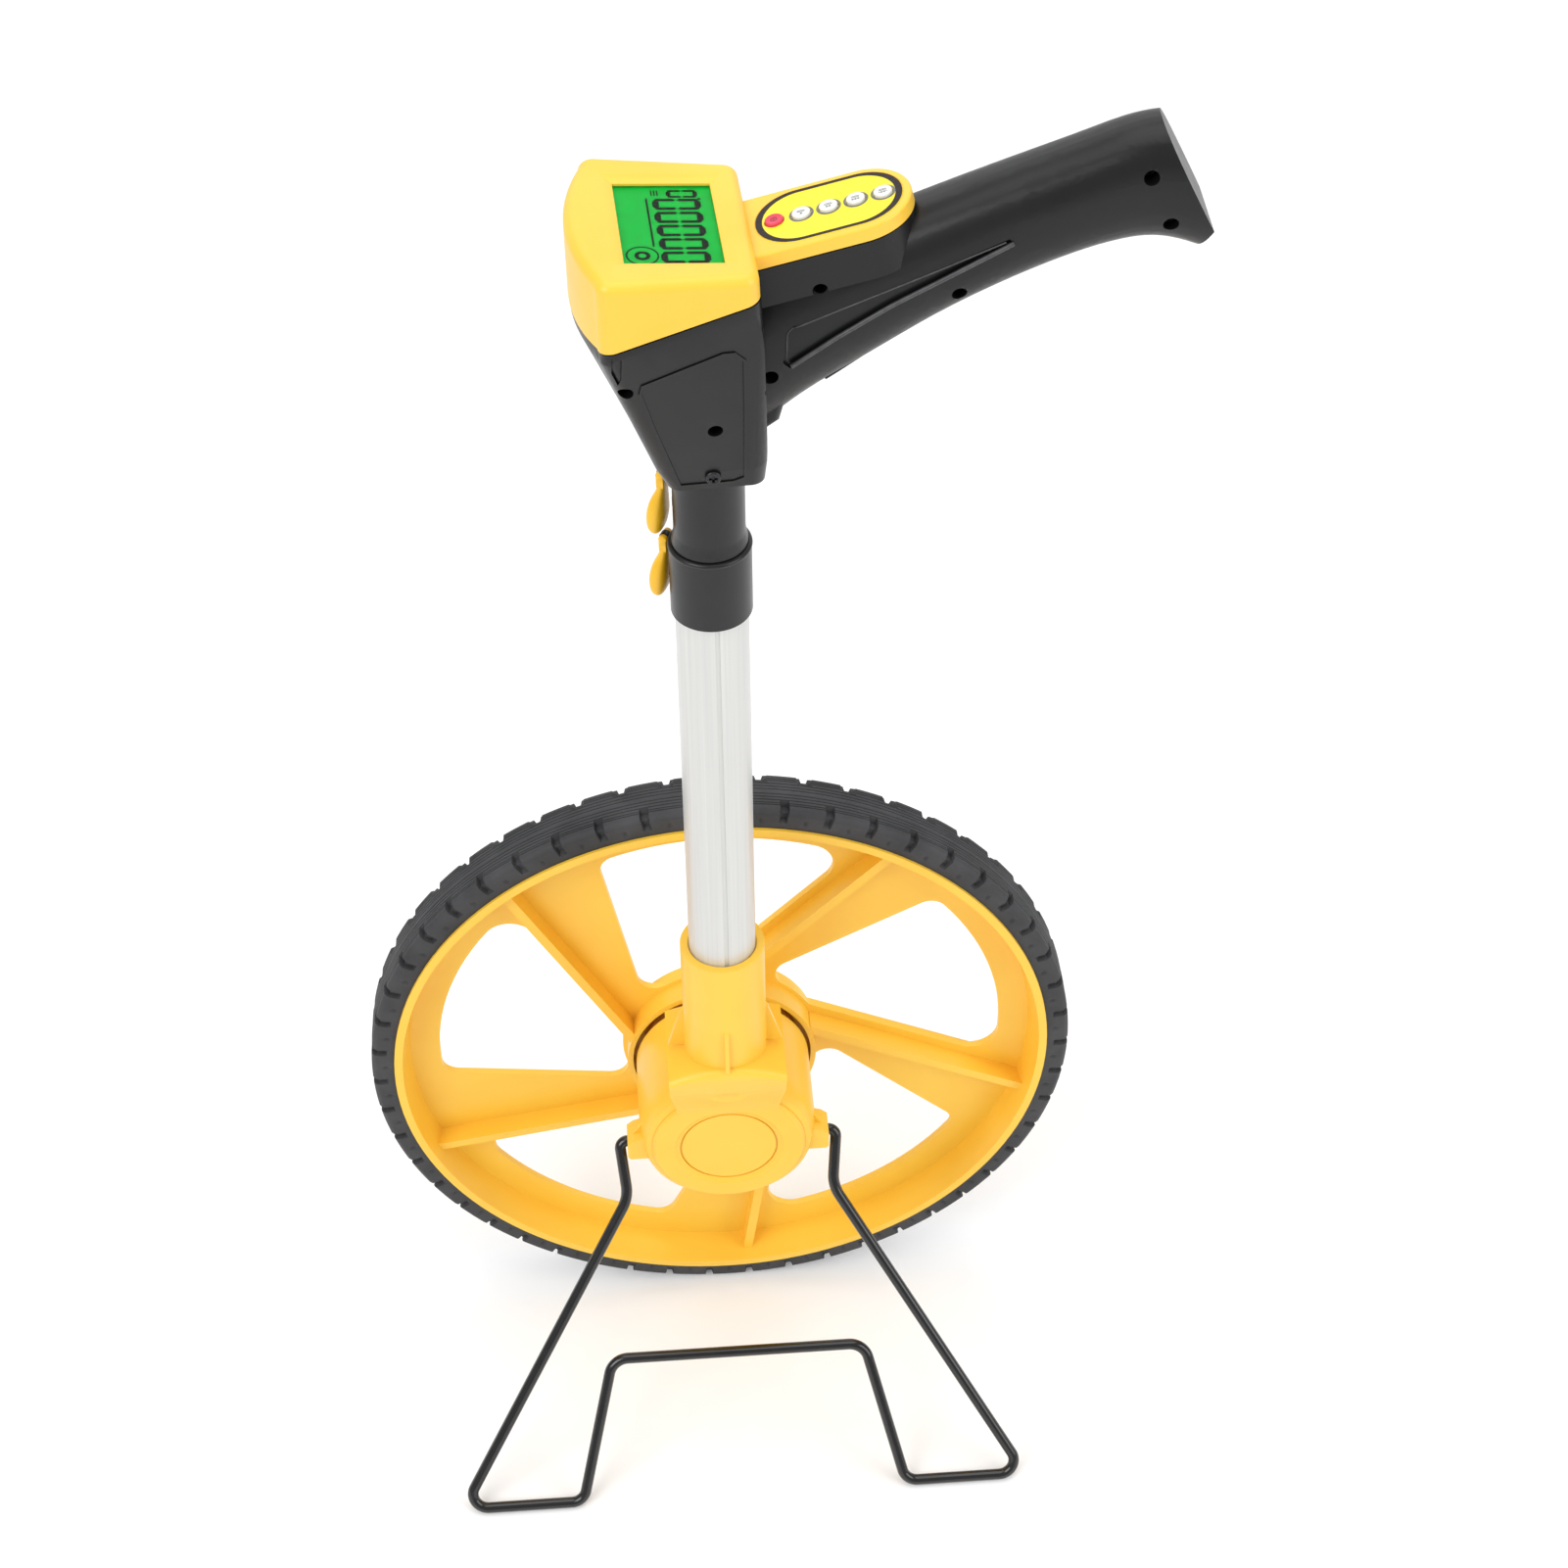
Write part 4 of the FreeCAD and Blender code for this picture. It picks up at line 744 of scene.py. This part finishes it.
def make_button(i, name, plastic, ink):
    """A push button with a raised rim, a flange under the label and a printed mark."""
    place = button_place(i)
    r, flange = BUTTON_R, BUTTON_R + 0.8
    bm = bmesh.new()
    spin(bm, [(0, 0.78), (r * 0.35, 0.8), (r * 0.62, 0.88), (r * 0.74, 1.0), (r * 0.84, 1.08),
              (r * 0.93, 1.02), (r * 0.985, 0.84), (r, 0.6), (r, -2.5), (flange, -2.55),
              (flange, -4.0), (0, -4.0)], 56, place)
    piece(name, bm, name, plastic, [name])
    bm = bmesh.new()
    if i == 0:
        strip(bm, circle(1.25, 32), circle(0.85, 32), MARK_LOW, MARK_HIGH, place)
        strip(bm, circle(0.42, 24), circle(0.12, 24), MARK_LOW, MARK_HIGH, place)
    else:
        for j in range(i):     # as many dots as the button's number, over a bar
            dot = place @ Matrix.Translation((j - (i - 1) / 2, -0.65, 0))
            strip(bm, circle(0.42, 20), circle(0.1, 20), MARK_LOW, MARK_HIGH, dot)
        strip(bm, oval_outline(1.45, 0.48, 8), oval_outline(1.15, 0.18, 8), MARK_LOW, MARK_HIGH,
              place @ Matrix.Translation((0, 0.75, 0)))
    piece(name + "_mark", bm, name, ink)


def make_keypad():
    make_label()
    make_button(0, BUTTONS[0], BUTTON_RED, RED_PRINT)
    for i in range(1, 5):
        make_button(i, BUTTONS[i], BUTTON_WHITE, GREY_PRINT)


# ---------------------------------------------------------------- handle
# Edges of the recess in the handle's side, as (x, z).
RECESS_LOW = [(29.2, 583.6), (45.0, 594.5), (63.4, 606.0), (81.6, 615.5), (104.4, 627.7)]
RECESS_HIGH = [(27.6, 586.0), (28.0, 596.4), (31.0, 599.2), (57.1, 609.8), (81.5, 619.6),
               (101.8, 628.2)]


def smoothed(points, times):
    """Evens out a path, its ends held."""
    for _ in range(times):
        middle = [(a + b * 2 + c) / 4 for a, b, c in zip(points, points[1:], points[2:])]
        points = [points[0]] + middle + [points[-1]]
    return points


def on_side(tree, line, side, lift, drop):
    """Lays a line on the housing's side; its depth is taken drop below each point."""
    path = []
    for (x0, z0), (x1, z1) in zip(line, line[1:]):
        path += [(x0 + (x1 - x0) * k / 12, z0 + (z1 - z0) * k / 12) for k in range(12)]
    path.append(line[-1])
    points = []
    for x, z in path:
        hit = tree.ray_cast(Vector((x, side * 60.0, z - drop)), Vector((0, -side, 0)))[0]
        points.append(Vector((x, hit.y + side * lift, z)))
    return smoothed(points, 3)


def make_handle_lines():
    """Round bead along the lower edge of each recess in the handle, thin line along the others; their grey is
    a painted highlight on the edges.
    """
    for name, side in (("near", -1), ("far", 1)):
        mesh = frame["nodes"]["housing_" + name].data
        tree = BVHTree.FromPolygons([v.co / MM for v in mesh.vertices],
                                    [tuple(p.vertices) for p in mesh.polygons])
        bm = bmesh.new()
        sweep(bm, on_side(tree, RECESS_LOW, side, 0.3, 1.6), 0.85, 12)
        sweep(bm, on_side(tree, RECESS_HIGH, side, 0.1, -1.2), 0.3, 12)
        piece("handle_lines_" + name, bm, "head", HANDLE_EDGE_PAINTED_HIGHLIGHT)


# ---------------------------------------------------------------- the whole object
# CAD nodes that get rounded edges: material, slot, width of the rounding.
ROUNDED = {"wheel_rim": (YELLOW, "wheel_plastic", 0.5), "hub_casing": (YELLOW, "wheel_plastic", 0.5),
           "wheel_hub_cap": (YELLOW, "wheel_plastic", 0.3),
           "display_cover": (YELLOW, "wheel_plastic", 0.35),
           "housing_near": (BLACK, "head_plastic", 0.35), "housing_far": (BLACK, "head_plastic", 0.35),
           "battery_door": (BLACK, "head_plastic", 0.25),
           "lower_collar": (COLLAR, "collar_plastic", 0.25),
           "upper_collar": (COLLAR, "collar_plastic", 0.25)}
# CAD nodes that stay as they are.
PLAIN = ((POLE, ("outer_tube", "middle_tube", "inner_tube")),
         (BLACK, ("middle_tube_guide", "inner_tube_guide", "hall_sensors", "lower_clamp_shoe",
                  "upper_clamp_shoe")),
         (YELLOW, ("casing_back_plate",)),
         (STEEL, ("bearing_outer_rings", "bearing_inner_rings", "bearing_balls", "bearing_spacer",
                  "axle", "axle_washer", "axle_nut", "lower_lever_pin", "upper_lever_pin")),
         (DARK_STEEL, ("casing_screws", "pole_screw", "housing_screws")),
         (NECK_STEEL, ("neck_screw",)),
         (BOARD, ("sensor_board", "display_board", "keypad_board")),
         (MAGNET_PAINTED_LIGHT, ("magnet_ring",)),
         (CELL, ("batteries",)))

make_tyre()
make_stand()
make_handle_lines()
make_lever("lower_lever", LOWER_LEVER_Z)
make_lever("upper_lever", UPPER_LEVER_Z)
make_display()
make_keypad()
for node, (material, slot, bevel) in ROUNDED.items():
    cad_copy(node, material, bevel)
for material, nodes in PLAIN:
    for node in nodes:
        dress(node, material)


# ---------------------------------------------------------------- floor, light, camera
FLOOR_HALF, WALL_Y, WALL_BEND_R, WALL_TOP = 6000.0, 3000.0, 900.0, 4500.0
FLOOR_DROP = 0.05          # keeps the floor just clear of the feet
STUDIO_LIGHTS = {          # place, aimed at, size (metres), power (watts)
    "key_left": ((-1.6, -1.5, 2.0), (0, 0, 0.35), (1.6, 1.6), 34),
    "fill_right": ((1.9, -1.1, 1.3), (0, 0, 0.35), (1.4, 1.8), 20),
    "top": ((0.1, 0.2, 2.6), (0, 0, 0.3), (2.2, 2.2), 25),
    "back": ((0.0, 2.2, 1.8), (0, 0, 0.4), (2.4, 1.2), 5)}
SKY_STRENGTH = 0.5
CAMERA_PLACE = (-0.0297, -0.8518, 1.1722)
CAMERA_RIGHT, CAMERA_UP = (0.9974, -0.0722, -0.0068), (0.0544, 0.6827, 0.7287)
CAMERA_BACK = (-0.0480, -0.7272, 0.6848)
LENS, SENSOR = 67.6, 36.0


def make_stage():
    """A pale floor that bends up into a wall far behind the object."""
    section = [(-FLOOR_HALF, 0.0), (WALL_Y - WALL_BEND_R, 0.0)]
    for i in range(1, 17):
        a = math.pi / 2 * i / 16
        section.append((WALL_Y - WALL_BEND_R + WALL_BEND_R * math.sin(a),
                        WALL_BEND_R - WALL_BEND_R * math.cos(a)))
    section.append((WALL_Y, WALL_TOP))
    bm = bmesh.new()
    grid(bm, [[Vector((x, y, z - FLOOR_DROP)) for y, z in section] for x in (-FLOOR_HALF, FLOOR_HALF)],
         False, False)
    mesh = bpy.data.meshes.new("studio_floor")
    bm.to_mesh(mesh)
    bm.free()
    mesh.transform(Matrix.Scale(MM, 4))
    mesh.shade_smooth()
    n = Nodes("floor_paper")
    speck = n.noise(40.0, 4.0)
    mesh.materials.append(n.finish(Base_Color=n.ramp(speck, (0.86, 0.86, 0.86, 1), (0.88, 0.88, 0.88, 1)),
                                   Roughness=0.8, Normal=n.bump(n.noise(600.0), 0.05, 0.0001),
                                   Emission_Color=(1, 1, 1, 1), Emission_Strength=0.13))
    ob = bpy.data.objects.new("studio_floor", mesh)
    scene.collection.objects.link(ob)


def area_light(name, place, target, size, power):
    data = bpy.data.lights.new(name, "AREA")
    data.shape = "RECTANGLE"
    data.size, data.size_y = size
    data.energy = power
    ob = bpy.data.objects.new(name, data)
    scene.collection.objects.link(ob)
    ob.location = place
    way = Vector(target) - Vector(place)
    ob.rotation_euler = way.to_track_quat("-Z", "Y").to_euler()


def make_sky():
    """Even white light from all round."""
    world = bpy.data.worlds.new("studio")
    scene.world = world
    world.use_nodes = True
    sky = world.node_tree.nodes["Background"]
    sky.inputs["Color"].default_value = (1, 1, 1, 1)
    sky.inputs["Strength"].default_value = SKY_STRENGTH


def make_camera():
    camera = bpy.data.objects.new("camera", bpy.data.cameras.new("camera"))
    scene.collection.objects.link(camera)
    camera.data.lens = LENS
    camera.data.sensor_width = SENSOR
    turn = Matrix((CAMERA_RIGHT, CAMERA_UP, CAMERA_BACK)).transposed()
    camera.matrix_world = Matrix.Translation(CAMERA_PLACE) @ turn.to_4x4()
    scene.camera = camera


make_stage()
for name, settings in STUDIO_LIGHTS.items():
    area_light(name, *settings)
make_sky()
scene.view_settings.view_transform = "Standard"
make_camera()
